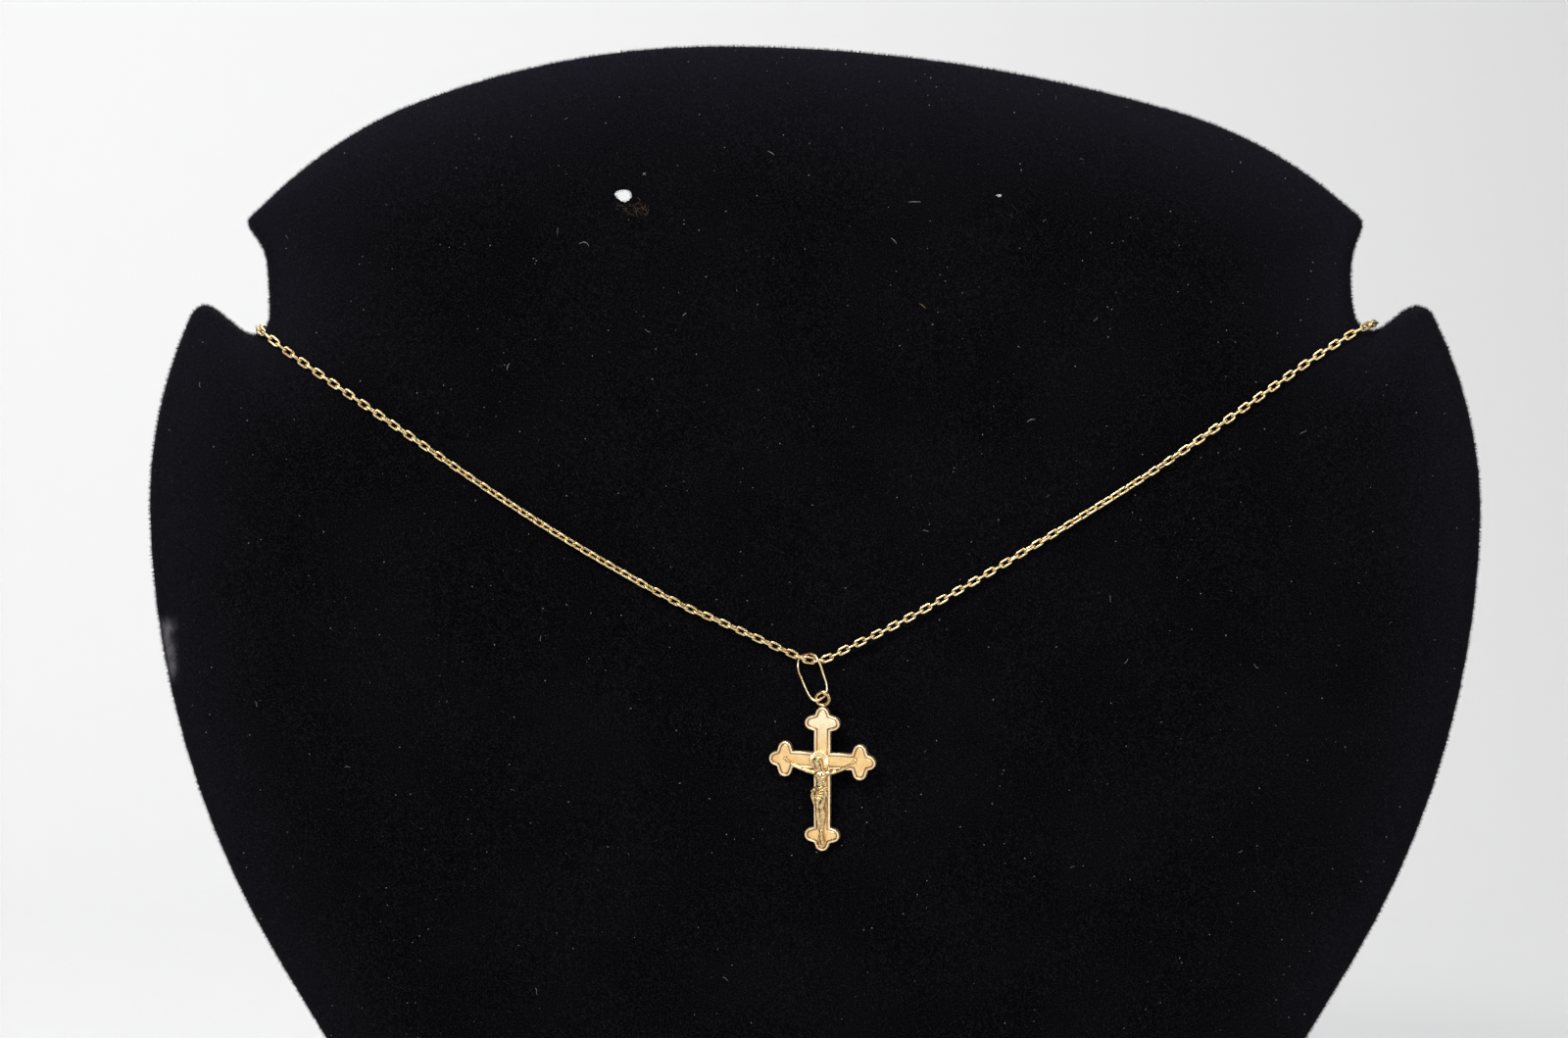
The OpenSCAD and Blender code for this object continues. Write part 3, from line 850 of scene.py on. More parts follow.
# Route of the chain's middle: x, depth behind the velvet's face, z, and the
# links' turn about the chain in degrees
ROUTE = [
    (-4.65, 9.1, 115.4, 90), (-18, 9.0, 117.0, 82), (-34, 9.0, 120.4, 66),
    (-50, 9.0, 125.6, 48), (-65, 9.0, 132.3, 28), (-77, 9.0, 138.8, 10),
    (-82.5, 9.1, 142.3, 2), (-84.7, 8.9, 144.0, 0), (-85.6, 7.4, 144.7, 0),
    (-85.7, 4.6, 144.6, 0), (-85.5, 2.0, 144.5, 0), (-84.8, 0.1, 143.9, 0),
    (-83.2, -0.7, 142.8, 0), (-81.4, -0.8, 141.3, 0), (-74.7, -0.8, 136.6, 2),
    (-63.0, -1.0, 128.6, 18), (-48.6, -1.3, 118.8, 42), (-36.6, -1.6, 111.2, 47),
    (-22.0, -1.9, 102.9, 28), (-14.4, -2.1, 99.5, 24), (-6.8, -2.3, 96.1, 18),
    (-3.2, -2.4, 94.5, 12), (-1.7, -2.4, 93.9, 10), (-0.4, -2.4, 93.6, 8),
    (0.9, -2.4, 93.7, 6), (2.5, -2.4, 94.3, 2), (5.7, -2.3, 95.9, 0),
    (13.2, -2.1, 99.6, 0), (25.4, -1.9, 106.4, 6), (39.8, -1.6, 115.1, 32),
    (52.0, -1.3, 122.8, 56), (63.4, -1.0, 130.7, 78), (75.0, -0.8, 139.0, 90),
    (80.8, -0.8, 142.8, 90), (83.4, -0.7, 144.3, 90), (85.0, 0.1, 145.0, 90),
    (85.9, 2.0, 145.3, 90), (86.1, 4.6, 145.3, 90), (85.9, 7.2, 145.2, 90),
    (84.8, 8.7, 144.4, 90), (82.7, 9.1, 142.9, 90), (77, 9.0, 139.2, 90),
    (65, 9.0, 132.4, 90), (50, 9.0, 125.6, 90), (34, 9.0, 120.4, 90),
    (18, 9.0, 117.0, 90), (4.65, 9.1, 115.4, 90),
]
LINK_PITCH = 1.4

fine_route = spline(ROUTE, 8)
chain_length = sum(
    float(np.linalg.norm(b[:3] - a[:3])) for a, b in zip(fine_route, fine_route[1:])
)
link_count = 2 * round(chain_length / LINK_PITCH / 2) + 1
chain_route = route_mesh("chain_route", fine_route)
mark_points(chain_route, "twist", [math.radians(p[3]) for p in fine_route])
chain = grown("chain_links", chain_route, chain_tree(), Links=link_count)
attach(chain, "root")
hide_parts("chain")

# The wound wire of the bail, from the point of the chain that it hangs on
HANG = np.array([-0.5, -2.4, 93.62])
BAIL_SIZE = np.array([4.4, 3.7, 7.0])
BAIL_WIRE = 0.36
BAIL = [
    (-0.466, 0.284, 0.036), (-0.493, 0.270, -0.103), (-0.459, 0.135, -0.261),
    (-0.384, 0.000, -0.374), (-0.295, -0.189, -0.517), (-0.186, -0.405, -0.660),
    (-0.095, -0.568, -0.767), (-0.002, -0.662, -0.824), (0.114, -0.690, -0.858),
    (0.239, -0.635, -0.839), (0.355, -0.565, -0.795), (0.455, -0.500, -0.745),
    (0.497, -0.454, -0.678), (0.507, -0.405, -0.589), (0.477, -0.351, -0.460),
    (0.420, -0.324, -0.356), (0.364, -0.311, -0.246), (0.302, -0.300, -0.124),
    (0.245, -0.290, -0.034), (0.159, -0.243, 0.060), (0.059, -0.135, 0.125),
    (-0.064, 0.000, 0.150), (-0.186, 0.149, 0.135), (-0.341, 0.265, 0.105),
]
bail_route = spline([HANG + BAIL_SIZE * b for b in BAIL], 6, True)
bail = grown(
    "bail_wire",
    route_mesh("bail_route", bail_route, True),
    wire_tree("bail_wire", bail_gold),
    Wire_Radius=BAIL_WIRE / 2 * MM,
    Wire_Sides=14,
)
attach(bail, "bail_body")
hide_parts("bail")


# clasp
CLASP = (0.0, FACE_Y + 9.2, 115.3)
CLASP_R, KNOB_REACH, KNOB_TURN = 2.6, 3.1, 128


def clasp_piece():
    """Spring ring clasp: its hollow ring, the gate, the thumb knob and two loops."""
    x, y, z = CLASP
    body = circle_route(CLASP, CLASP_R, 56, 52)
    parts = [tube(body, 0.55, 14), tube(circle_route(CLASP, CLASP_R, 64), 0.36, 10, True)]
    for end in (body[0], body[-1]):
        parts.append(ball(end, (0.6, 0.58, 0.6)))
    a = math.radians(KNOB_TURN)
    root, knob = ((x + r * math.cos(a), y, z + r * math.sin(a)) for r in (CLASP_R, KNOB_REACH))
    parts.append(tube([root, knob], 0.17, 10))
    parts.append(ball(knob, (0.32, 0.32, 0.32)))
    for side in (-1, 1):
        loop = circle_route((x + side * 3.4, y, z), 0.8, 32)
        parts.append(tube(loop, 0.25, 10, True))
    return new_piece("clasp_ring", new_mesh("clasp_ring", *joined(parts)), chain_gold)


clasp = clasp_piece()
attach(clasp, "root")
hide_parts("clasp")


# crucifix
# Sizes of the cross in millimetres, from the crossing's middle
ARM_W = 2.55
TOP_L, SIDE_L, LOW_L = 8.3, 8.35, 14.05
PLATE_T, RIM_H, RIM_W = 1.0, 0.22, 0.44
LOBE_R, LOBE_OUT, TIP_L = 1.07, 1.68, 2.5
RING_R, RING_WIRE = 1.0, 0.6
RING_Z = TOP_L + RING_R + 0.25
RING_AT = HANG + BAIL_SIZE * np.array([0.361, -0.559, -0.815])
# How the cross hangs: turned to its right, leaning out at the top, and rolled
YAW, PITCH, ROLL = 14, 8, 0.1
PANEL = PLATE_T - RIM_H
FIGURE_H = 13.8
HALO_R, HALO_X, HALO_Z = 1.6, -0.03 * FIGURE_H, -0.002 * FIGURE_H


def cross_place():
    """From the cross's own place, in millimetres, to the frame, in metres."""
    return (
        Matrix.Scale(MM, 4)
        @ Matrix.Translation((RING_AT[0], FACE_Y + RING_AT[1], RING_AT[2]))
        @ Matrix.Rotation(math.radians(PITCH), 4, "X")
        @ Matrix.Rotation(math.radians(ROLL), 4, "Y")
        @ Matrix.Rotation(math.radians(-YAW), 4, "Z")
        @ Matrix.Translation((0, PLATE_T / 2, -RING_Z))
    )


def cross_piece(name, mesh, *materials):
    """New piece from a mesh in the cross's own millimetres."""
    for material in materials:
        mesh.materials.append(material)
    mesh.shade_smooth()
    mesh.transform(cross_place())
    return new_piece(name, mesh)


def reach_of_lobe(turn, lobe_turn, lobe_at):
    """How far a lobe's rounded cone reaches from the trefoil's middle at a turn."""
    a = abs((turn - lobe_turn + math.pi) % (2 * math.pi) - math.pi)
    near, far = ARM_W / 2 + 0.28, LOBE_R
    flank = math.acos((near - far) / lobe_at)
    reach = near
    if a < math.pi / 2 + flank:
        side = math.sin(a) * lobe_at
        if side < far:
            reach = max(reach, math.cos(a) * lobe_at + math.sqrt(far**2 - side**2))
        if abs(a - flank) < math.pi / 2 - 0.001:
            out = near / math.cos(a - flank)
            along = out * math.cos(a)
            touch_low = near * math.cos(flank)
            touch_high = lobe_at + far * math.cos(flank)
            if touch_low <= along <= touch_high:
                reach = max(reach, out)
    return reach


def end_points(steps=84):
    """Outline of a trefoil end about its middle, out to where it meets the arm."""
    lobes = ((0, TIP_L - LOBE_R), (math.pi / 2, LOBE_OUT), (-math.pi / 2, LOBE_OUT))
    points = []
    for i in range(steps + 1):
        a = math.pi * 0.83 * (2 * i / steps - 1)
        r = max(reach_of_lobe(a, *lobe) for lobe in lobes)
        out, side = r * math.cos(a), r * math.sin(a)
        if not (out < 0 and abs(side) < ARM_W / 2 + 0.02):
            points.append((out, side))
    return points


def cross_outline():
    """Closed outline of the cross: x, z, anticlockwise."""
    half = ARM_W / 2
    ends = end_points()
    ends = [(ends[0][0] - 0.03, -half)] + ends + [(ends[-1][0] - 0.03, half)]
    outline = []
    for turn, length in ((0, SIDE_L), (90, TOP_L), (180, SIDE_L), (270, LOW_L)):
        c, s = math.cos(math.radians(turn)), math.sin(math.radians(turn))
        arm = [(length - TIP_L + out, side) for out, side in ends] + [(half, half)]
        outline += [(u * c - v * s, u * s + v * c) for u, v in arm]
    return np.array(outline)


def mitres(outline):
    """Inward steps of an outline's points for an inset of one."""
    ahead = np.roll(outline, -1, 0) - outline
    ahead /= np.linalg.norm(ahead, axis=1)[:, None]
    left = np.stack([-ahead[:, 1], ahead[:, 0]], 1)
    before = np.roll(left, 1, 0)
    dot = np.clip((left * before).sum(1), -0.5, 1)
    return (left + before) / (1 + dot)[:, None]


def rim_profile():
    """The plate's section from the back to the panel: inset, y."""
    profile = [(0.3, 0.0), (0.07, 0.0), (0.02, -0.02), (0.0, -0.07)]
    for k in range(8):
        a = math.pi * k / 8
        rise = RIM_W / 2 * (1 - math.sin(a))
        profile.append((RIM_W / 2 * (1 - math.cos(a)), rise - PLATE_T))
    # A narrow groove between the bead and the panel
    for inset, lift in ((0, -0.02), (0.04, 0.05), (0.10, 0.05), (0.14, 0), (0.2, 0)):
        profile.append((RIM_W + inset, lift - PANEL))
    return profile


def cross_plate():
    """Cross with a rounded rim round a sunk panel. Its back is flat."""
    outline = cross_outline()
    inward = mitres(outline)
    profile = rim_profile()
    rings = [[(x, y, z) for x, z in outline + inward * inset] for inset, y in profile]
    points, faces = skin(rings)
    mesh = bpy.data.meshes.new("cross_plate")
    mesh.from_pydata(points, [], faces)
    with opened(mesh) as build:
        bmesh.ops.triangulate(build, faces=[f for f in build.faces if len(f.verts) > 4])
        bmesh.ops.recalc_face_normals(build, faces=build.faces)
    # Painted shade: the groove and the inner slope of the rim are marked to be darkened
    relief = []
    for inset, y in profile:
        in_groove = RIM_W - 0.02 < inset < RIM_W + 0.12
        low = y < 0.2 - PANEL and inset > RIM_W / 2
        relief += [(-0.9 if in_groove else -0.4) if low else 0.0] * len(outline)
    mark_points(mesh, "relief", relief)
    for face in mesh.polygons:
        panel = face.normal.y < -0.98 and -PANEL - 0.05 < face.center.y < -PANEL + 0.02
        face.material_index = 1 if panel or face.center.y > -0.001 else 0
    return cross_piece("cross_plate", mesh, rim_gold, pebbled_gold)


def ring_and_solder():
    """The hanging ring and the solder that holds it on the top lobe."""
    y = -PLATE_T / 2
    ring = fused("hanging_ring", [
        tube(circle_route((0, y, RING_Z), RING_R, 56), RING_WIRE / 2, 16, True),
        ball((0, y, TOP_L - 0.05), (0.42, 0.36, 0.34)),
        ball((0.12, y - 0.08, TOP_L + 0.16), (0.3, 0.28, 0.24)),
    ])
    return cross_piece("hanging_ring", ring, figure_gold)


def fluted_halo():
    """Disc behind the head with raised rays that spread to its rim."""
    rays, steps = 24, 8
    around = rays * steps
    rings = []
    # Share of the radius, height over the panel, height of the rays
    for share, base, lift in (
        (1.0, -0.2, 0.0), (1.0, 0.12, 0.0), (0.985, 0.2, 0.10), (0.95, 0.24, 0.17),
        (0.85, 0.26, 0.17), (0.7, 0.28, 0.15), (0.5, 0.3, 0.11), (0.3, 0.32, 0.06),
    ):
        ring = []
        for i in range(around):
            a = 2 * math.pi * i / around
            wave = 0.5 + 0.5 * math.cos(rays * a)
            r = HALO_R * share * (1 + (0.015 * wave if share > 0.9 else 0))
            y = -PANEL - base - lift * wave**0.7
            ring.append((HALO_X + r * math.cos(a), y, HALO_Z + r * math.sin(a)))
        rings.append(ring)
    return cross_piece("halo", new_mesh("halo", *skin(rings), scale=1), halo_gold)


# The figure is made of closed forms that are fused into one skin. x and z are
# shares of its height from the crossing's middle, and depth is millimetres out
# of the panel.
def on_figure(x, z, depth):
    """A place on the figure in the cross's own millimetres."""
    return (x * FIGURE_H, -PANEL - depth, z * FIGURE_H)


def form(rows, sides=28):
    """Tapering form: rows of z, x, half width, depth of the middle, bulge."""
    turns = [2 * math.pi * s / sides for s in range(sides)]
    return skin([
        [on_figure(x + half * math.cos(a), z, depth + bulge * math.sin(a)) for a in turns]
        for z, x, half, depth, bulge in spline(rows, 4)
    ])


def limb(rows, sides=18):
    """Round limb: rows of x, z, depth of the middle, radius as a share."""
    rows = spline(rows, 4)
    radii = [max(row[3], 0.001) * FIGURE_H for row in rows]
    return tube([on_figure(*row[:3]) for row in rows], radii, sides)


def lump(x, z, depth, wide, out, tall, lean=0):
    """Ellipsoid on the figure, its size in millimetres, leaning clockwise."""
    turn = Matrix.Rotation(math.radians(lean), 4, "Y")
    return ball(on_figure(x, z, depth), (wide, out, tall), turn, 12, 18)


def strand(points, radius):
    """Thin round strand, its ends closed by balls: points of x, z, depth."""
    route = spline([on_figure(*p) for p in points], 4)
    ends = [ball(end, (radius,) * 3, None, 6, 8) for end in (route[0], route[-1])]
    return [tube(route, radius, 8)] + ends


def torso_parts():
    parts = [
        form([
            (-0.062, -0.040, 0.024, 0.45, 0.28), (-0.092, -0.038, 0.032, 0.42, 0.34),
            (-0.108, -0.034, 0.052, 0.35, 0.40), (-0.122, -0.024, 0.070, 0.28, 0.50),
            (-0.150, -0.010, 0.070, 0.25, 0.66), (-0.180, -0.006, 0.069, 0.25, 0.78),
            (-0.200, -0.003, 0.066, 0.25, 0.74), (-0.225, -0.001, 0.064, 0.25, 0.58),
            (-0.262, 0.000, 0.062, 0.25, 0.46), (-0.300, -0.006, 0.060, 0.25, 0.50),
            (-0.350, -0.008, 0.058, 0.25, 0.46),
        ]),
        lump(-0.042, -0.154, 0.70, 0.58, 0.23, 0.42, -12),
        lump(0.022, -0.156, 0.70, 0.58, 0.23, 0.42, 12),
        lump(-0.002, -0.258, 0.56, 0.46, 0.22, 0.36),
        lump(-0.004, -0.296, 0.58, 0.50, 0.24, 0.34),
        lump(-0.024, -0.228, 0.62, 0.24, 0.14, 0.26),
        lump(0.022, -0.228, 0.62, 0.24, 0.14, 0.26),
    ]
    for k in range(4):
        z = -0.180 - 0.0155 * k
        reach = 0.070 - 0.003 * k
        for side in (-1, 1):
            middle = -0.004 + 0.001 * k
            parts += strand([
                (middle + side * 0.020, z, 0.98 - 0.06 * k),
                (middle + side * 0.044, z + 0.004, 0.88 - 0.05 * k),
                (middle + side * (reach - 0.008), z + 0.013, 0.62 - 0.04 * k),
            ], 0.075)
    for side in (-1, 1):
        collar = [(-0.034 + side * 0.016, -0.112, 0.66), (-0.030 + side * 0.066, -0.116, 0.58)]
        parts += strand(collar, 0.08)
    return parts


# Both arms: left x, left z, right x, right z, depth of the middle, radius
ARMS = (
    (-0.062, -0.130, 0.020, -0.136, 0.30, 0.0280), (-0.096, -0.128, 0.052, -0.134, 0.34, 0.0300),
    (-0.135, -0.122, 0.092, -0.128, 0.34, 0.0265), (-0.170, -0.114, 0.130, -0.119, 0.34, 0.0265),
    (-0.205, -0.102, 0.168, -0.106, 0.32, 0.0225), (-0.235, -0.093, 0.200, -0.094, 0.32, 0.0245),
    (-0.275, -0.079, 0.240, -0.076, 0.30, 0.0225), (-0.320, -0.060, 0.284, -0.052, 0.28, 0.0175),
    (-0.352, -0.042, 0.315, -0.032, 0.28, 0.0140), (-0.372, -0.028, 0.335, -0.014, 0.28, 0.0150),
)


def arm_parts():
    """Arms with a palm, four fingers, a thumb and a nail to each hand."""
    parts = []
    for side, palm, tip, lean in (
        (-1, (-0.392, -0.012), (-0.430, 0.020), -48), (1, (0.354, 0.002), (0.388, 0.042), 40)
    ):
        parts.append(limb([(*(row[:2] if side < 0 else row[2:4]), *row[4:]) for row in ARMS]))
        parts.append(lump(*palm, 0.28, 0.24, 0.16, 0.30, lean))
        palm = Vector(palm)
        along = Vector(tip) - palm
        across = Vector((-along.y, along.x)).normalized()
        for k, length in enumerate((0.82, 1.0, 0.95, 0.75)):
            start = palm + across * 0.0092 * (k - 1.5) + along * 0.25
            end = start + along * 0.72 * length + across * 0.002 * (k - 1.5)
            bend = start.lerp(end, 0.55)
            parts += strand([(*start, 0.30), (*bend, 0.36), (*end, 0.26)], 0.058)
        start = palm - across * 0.014 * side
        end = start + along * 0.42 - across * 0.016 * side
        parts += strand([(*start, 0.30), (*end, 0.36)], 0.066)
        parts.append(lump(*palm, 0.46, 0.11, 0.08, 0.11))
    return parts


def fuller(rows):
    """A leg's sections, made wider and set further apart below the cloth."""
    full = []
    for x, z, depth, radius in rows:
        share = min(max((-0.40 - z) / 0.12, 0), 1)
        full.append((
            x + share * (0.25 * x + 0.003), z, depth, radius * (1 + 0.3 * share)
        ))
    return full


def leg_parts():
    parts = [
        limb(fuller([
            (0.022, -0.350, 0.34, 0.0390), (0.022, -0.395, 0.42, 0.0400),
            (0.016, -0.440, 0.55, 0.0370), (0.006, -0.480, 0.64, 0.0320),
            (0.001, -0.508, 0.66, 0.0270), (0.004, -0.535, 0.54, 0.0255),
            (0.010, -0.580, 0.42, 0.0275), (0.010, -0.630, 0.34, 0.0265),
            (0.006, -0.690, 0.34, 0.0215), (0.002, -0.750, 0.40, 0.0170),
            (-0.002, -0.800, 0.46, 0.0160), (-0.004, -0.825, 0.48, 0.0175),
        ])),
        limb(fuller([
            (-0.034, -0.350, 0.30, 0.0370), (-0.036, -0.395, 0.34, 0.0380),
            (-0.034, -0.440, 0.42, 0.0350), (-0.030, -0.480, 0.48, 0.0300),
            (-0.029, -0.508, 0.50, 0.0255), (-0.030, -0.535, 0.40, 0.0245),
            (-0.033, -0.580, 0.30, 0.0260), (-0.030, -0.630, 0.26, 0.0250),
            (-0.024, -0.690, 0.30, 0.0205), (-0.014, -0.750, 0.44, 0.0165),
            (-0.006, -0.800, 0.62, 0.0155), (-0.002, -0.825, 0.66, 0.0170),
        ])),
        lump(0.004, -0.506, 0.86, 0.27, 0.20, 0.31),
        lump(-0.033, -0.506, 0.70, 0.25, 0.18, 0.29),
    ]
    # Feet, the left one laid over the right one
    for rows, toe_x, toe_step, depth in (
        ([
            (-0.008, -0.818, 0.42, 0.0195), (-0.012, -0.850, 0.46, 0.0225),
            (-0.014, -0.885, 0.40, 0.0245), (-0.015, -0.918, 0.28, 0.0245),
            (-0.015, -0.935, 0.24, 0.0215),
        ], -0.034, 0.011, 0.24),
        ([
            (-0.002, -0.818, 0.62, 0.0180), (0.004, -0.850, 0.72, 0.0200),
            (0.012, -0.885, 0.68, 0.0215), (0.019, -0.918, 0.56, 0.0210),
            (0.022, -0.935, 0.50, 0.0185),
        ], 0.007, 0.010, 0.48),
    ):
        parts.append(limb(rows))
        for k in range(4):
            size = 0.095 if k == 0 else 0.075
            z = -0.944 - 0.004 * abs(k - 1)
            parts.append(lump(toe_x + toe_step * k, z, depth, size, size, size * 1.4))
    # The nail through both
    parts.append(lump(0.008, -0.874, 1.0, 0.12, 0.09, 0.12))
    return parts


# Folds of the cloth that fan out from the knot: x, z, depth
FOLDS = (
    ((-0.078, -0.322, 0.62), (-0.030, -0.330, 0.92), (0.020, -0.322, 0.88), (0.062, -0.312, 0.50)),
    ((-0.076, -0.332, 0.62), (-0.030, -0.352, 0.94), (0.022, -0.350, 0.88), (0.064, -0.342, 0.50)),
    ((-0.074, -0.342, 0.62), (-0.034, -0.376, 0.96), (0.018, -0.386, 0.94), (0.062, -0.380, 0.52)),
    ((-0.076, -0.352, 0.60), (-0.044, -0.398, 0.94), (0.004, -0.420, 0.98), (0.050, -0.424, 0.66)),
    ((-0.078, -0.362, 0.56), (-0.056, -0.412, 0.86), (-0.024, -0.446, 0.92), (0.014, -0.462, 0.78)),
)


def cloth_parts():
    parts = [
        form([
            (-0.276, -0.004, 0.054, 0.25, 0.46), (-0.290, -0.006, 0.066, 0.25, 0.60),
            (-0.320, -0.004, 0.074, 0.25, 0.62), (-0.350, -0.003, 0.078, 0.25, 0.64),
            (-0.385, -0.004, 0.077, 0.25, 0.70), (-0.420, -0.009, 0.072, 0.25, 0.74),
            (-0.448, -0.016, 0.063, 0.25, 0.70), (-0.468, -0.028, 0.050, 0.22, 0.54),
            (-0.478, -0.035, 0.034, 0.20, 0.40),
        ]),
        form([
            (-0.292, -0.074, 0.014, 0.24, 0.26), (-0.306, -0.084, 0.028, 0.24, 0.38),
            (-0.325, -0.092, 0.034, 0.22, 0.42), (-0.345, -0.096, 0.034, 0.20, 0.40),
            (-0.372, -0.094, 0.032, 0.16, 0.36), (-0.405, -0.088, 0.030, 0.14, 0.34),
            (-0.450, -0.076, 0.027, 0.12, 0.30), (-0.500, -0.068, 0.021, 0.10, 0.26),
            (-0.545, -0.062, 0.010, 0.10, 0.18),
        ]),
        lump(-0.082, -0.322, 0.60, 0.22, 0.24, 0.28, 20),
    ]
    # Waist roll
    parts += strand([
        (-0.082, -0.300, 0.46), (-0.045, -0.296, 0.80), (0.000, -0.292, 0.84),
        (0.052, -0.288, 0.56),
    ], 0.13)
    for fold in FOLDS:
        parts += strand(fold, 0.085)
    # Folds that fall at the hip
    for x in (-0.112, -0.096, -0.080):
        parts += strand([
            (-0.088, -0.336, 0.60), (x - 0.002, -0.385, 0.50),
            (x * 0.6 - 0.030, -0.460, 0.40), (x * 0.2 - 0.046, -0.535, 0.26),
        ], 0.075)
    return parts


def head_parts():
    """A calm, plain head of even proportions, its hair and its crown."""
    x, tip = -0.040, -0.010
    face = 0.92
    parts = [lump(x + dx, tip + dz, depth, *size) for dx, dz, depth, *size in (
        (0, 0, 0.62, 0.50, 0.50, 0.62), (0, -0.036, 0.74, 0.33, 0.36, 0.42),
        (0, -0.066, 0.72, 0.25, 0.28, 0.26), (0, 0.010, face + 0.06, 0.30, 0.10, 0.08),
        (0, -0.022, face + 0.20, 0.065, 0.13, 0.15),
        (-0.017, -0.022, face + 0.05, 0.11, 0.10, 0.10),
        (0.017, -0.022, face + 0.05, 0.11, 0.10, 0.10),
        (0, -0.044, face + 0.12, 0.12, 0.08, 0.035), (0, -0.052, face + 0.10, 0.10, 0.08, 0.035),
    )]
    for side in (-1, 1):
        parts.append(lump(x + side * 0.012, tip - 0.004, face + 0.06, 0.07, 0.06, 0.035))
        for k in range(3):
            spread = 0.034 + 0.006 * k
            lock = (
                (0.006 * (k + 1), 0.046 - 0.002 * k, 0.66 - 0.14 * k),
                (spread, 0.026, 0.72 - 0.16 * k), (spread + 0.008, -0.026, 0.68 - 0.16 * k),
                (spread + 0.003, -0.068, 0.62 - 0.15 * k),
                (spread + 0.007, -0.104, 0.58 - 0.14 * k),
            )
            points = [(x + side * out, tip + rise, depth) for out, rise, depth in lock]
            parts += strand(points, 0.125 - 0.012 * k)
    for k in range(5):
        side, off = (k - 2) * 0.0095, abs(k - 2)
        parts += strand([
            (x + side * 1.3, tip - 0.050 - 0.002 * off, 0.92 - 0.04 * off),
            (x + side * 1.1, tip - 0.074, 0.96 - 0.04 * off), (x + side * 0.5, tip - 0.094, 0.84),
        ], 0.085)
    parts.append(lump(x, tip + 0.028, 0.52, 0.50, 0.42, 0.36))
    for turn in range(2):
        crown = []
        for k in range(12):
            a = 2 * math.pi * (k + 0.5 * turn) / 12
            wave = 0.004 * math.cos(3 * a + math.pi * turn)
            depth = 0.60 - 0.50 * math.sin(a)
            crown.append(on_figure(x + 0.040 * math.cos(a), tip + 0.022 + wave, depth))
        parts.append(tube(spline(crown, 3, True), 0.065, 8, True))
    # The head is bowed a little to its left
    middle = Matrix.Translation((x * FIGURE_H, -PANEL - 0.5, tip * FIGURE_H - 0.4))
    bow = middle @ Matrix.Rotation(math.radians(-13), 4, "Y") @ Matrix.Scale(1.12, 4)
    bow = bow @ middle.inverted()
    return [([tuple(bow @ Vector(p)) for p in points], faces) for points, faces in parts]


def figure_piece():
    parts = torso_parts() + arm_parts() + leg_parts() + cloth_parts() + head_parts()
    mesh = fused("figure", parts)
    # Marks for painted highlight on crests and swells, and painted shade in hollows and low parts
    mark_relief(mesh, relief=(12, 0.05), swell=(160, 0.32))
    return cross_piece("figure", mesh, figure_gold)


for piece in (cross_plate(), ring_and_solder(), fluted_halo(), figure_piece()):
    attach(piece, "crucifix_body")
    if piece.name.startswith("cross_plate"):
        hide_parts("crucifix")

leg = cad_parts["leg"].data
leg.materials.clear()
leg.materials.append(black_paper)


# floor, lights, camera
def sweep_finish():
    """Pale paper that can be seen through from behind, so that the back shows."""
    graph = Finish("pale_paper", Base_Color=(0.78, 0.78, 0.785, 1), Roughness=0.9)
    behind = graph.node("ShaderNodeNewGeometry", out="Backfacing")
    clear = graph.node("ShaderNodeBsdfTransparent")
    both = graph.node("ShaderNodeMixShader", behind, graph.shader, clear)
    graph.tree.links.new(both.socket, graph.output.inputs["Surface"])
    return graph.material


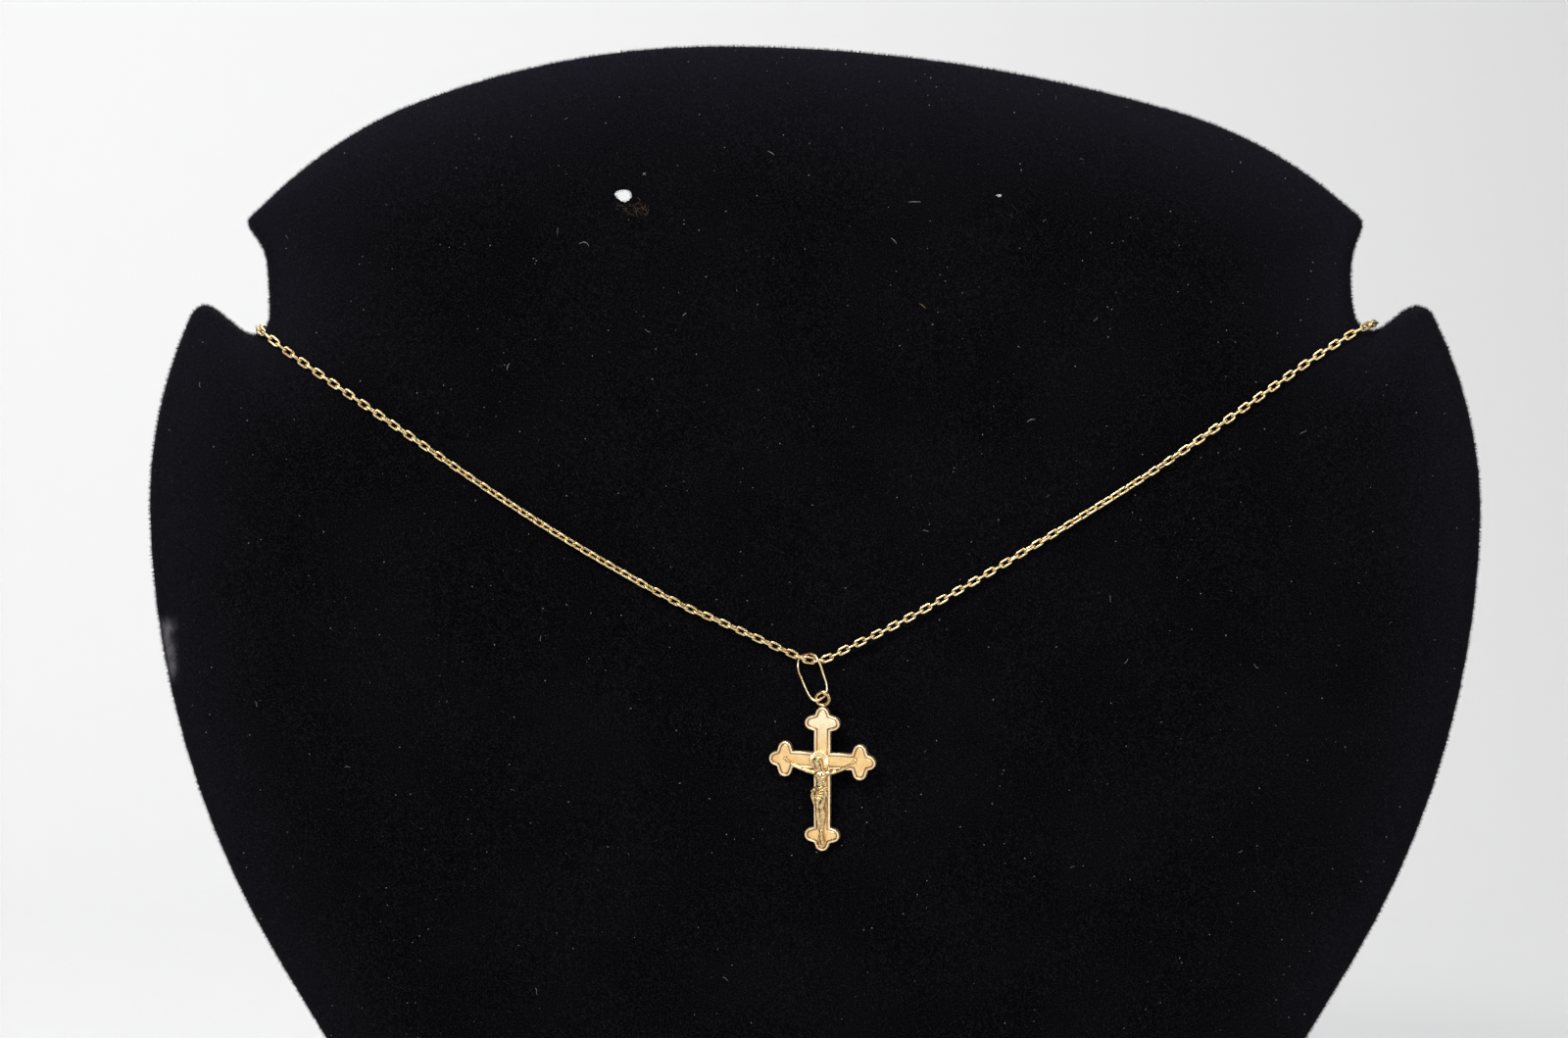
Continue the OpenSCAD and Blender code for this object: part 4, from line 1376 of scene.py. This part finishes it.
def pale_sweep():
    """Floor that rises in a smooth curve into a backdrop."""
    wall, bend = 1.0, 0.5
    profile = [(-1.6, 0.0), (-0.6, 0.0), (wall - bend, 0.0)]
    for k in range(1, 17):
        a = math.pi / 2 * k / 16
        profile.append((wall - bend + bend * math.sin(a), bend * (1 - math.cos(a))))
    profile.append((wall, 2.0))
    points, faces = [], []
    for x in (-2.2, 2.2):
        points += [(x, y, z) for y, z in profile]
    count = len(profile)
    for k in range(count - 1):
        faces.append((k, count + k, count + k + 1, k + 1))
    mesh = bpy.data.meshes.new("pale_sweep")
    mesh.from_pydata(points, [], faces)
    mesh.shade_smooth()
    return new_piece("pale_sweep", mesh, sweep_finish())


def soft_light(name, at, to, size, power, tint=(1, 1, 1)):
    """Broad light at a place that shines towards another."""
    lamp = bpy.data.lights.new(name, "AREA")
    lamp.shape = "RECTANGLE"
    lamp.size, lamp.size_y = size
    lamp.energy = power
    lamp.color = tint
    holder = bpy.data.objects.new(name, lamp)
    bpy.context.scene.collection.objects.link(holder)
    holder.location = at
    aim = Vector(to) - Vector(at)
    holder.rotation_euler = aim.to_track_quat("-Z", "Y").to_euler()


pale_sweep()
target = (0, FACE_Y * MM, 0.11)
soft_light("key", (-0.3, -0.95, 0.62), target, (0.34, 0.26), 8.5, (1.0, 0.98, 0.95))
soft_light("fill", (0.55, -0.9, 0.3), target, (0.4, 0.5), 2.2, (0.97, 0.98, 1.0))
soft_light("top", (0.05, -0.14, 0.8), target, (0.6, 0.24), 2.0)
soft_light("backdrop", (-0.5, 0.25, 1.25), (-0.22, 1.0, 0.42), (0.8, 0.4), 11.3)

world = bpy.data.worlds.new("studio")
bpy.context.scene.world = world
world.use_nodes = True
sky = world.node_tree.nodes["Background"]
sky.inputs["Color"].default_value = (0.85, 0.87, 0.9, 1)
sky.inputs["Strength"].default_value = 0.12

camera_data = bpy.data.cameras.new("camera")
camera_data.sensor_width = 36
camera_data.lens = 0.15 * EYE_REACH
camera_data.clip_start = 0.01
camera = bpy.data.objects.new("camera", camera_data)
bpy.context.scene.collection.objects.link(camera)
camera.location = Vector((EYE_X, FACE_Y - EYE_REACH, EYE_Z)) * MM
camera.rotation_euler = (math.pi / 2, 0, 0)
bpy.context.scene.camera = camera
bpy.context.scene.view_settings.view_transform = "Standard"
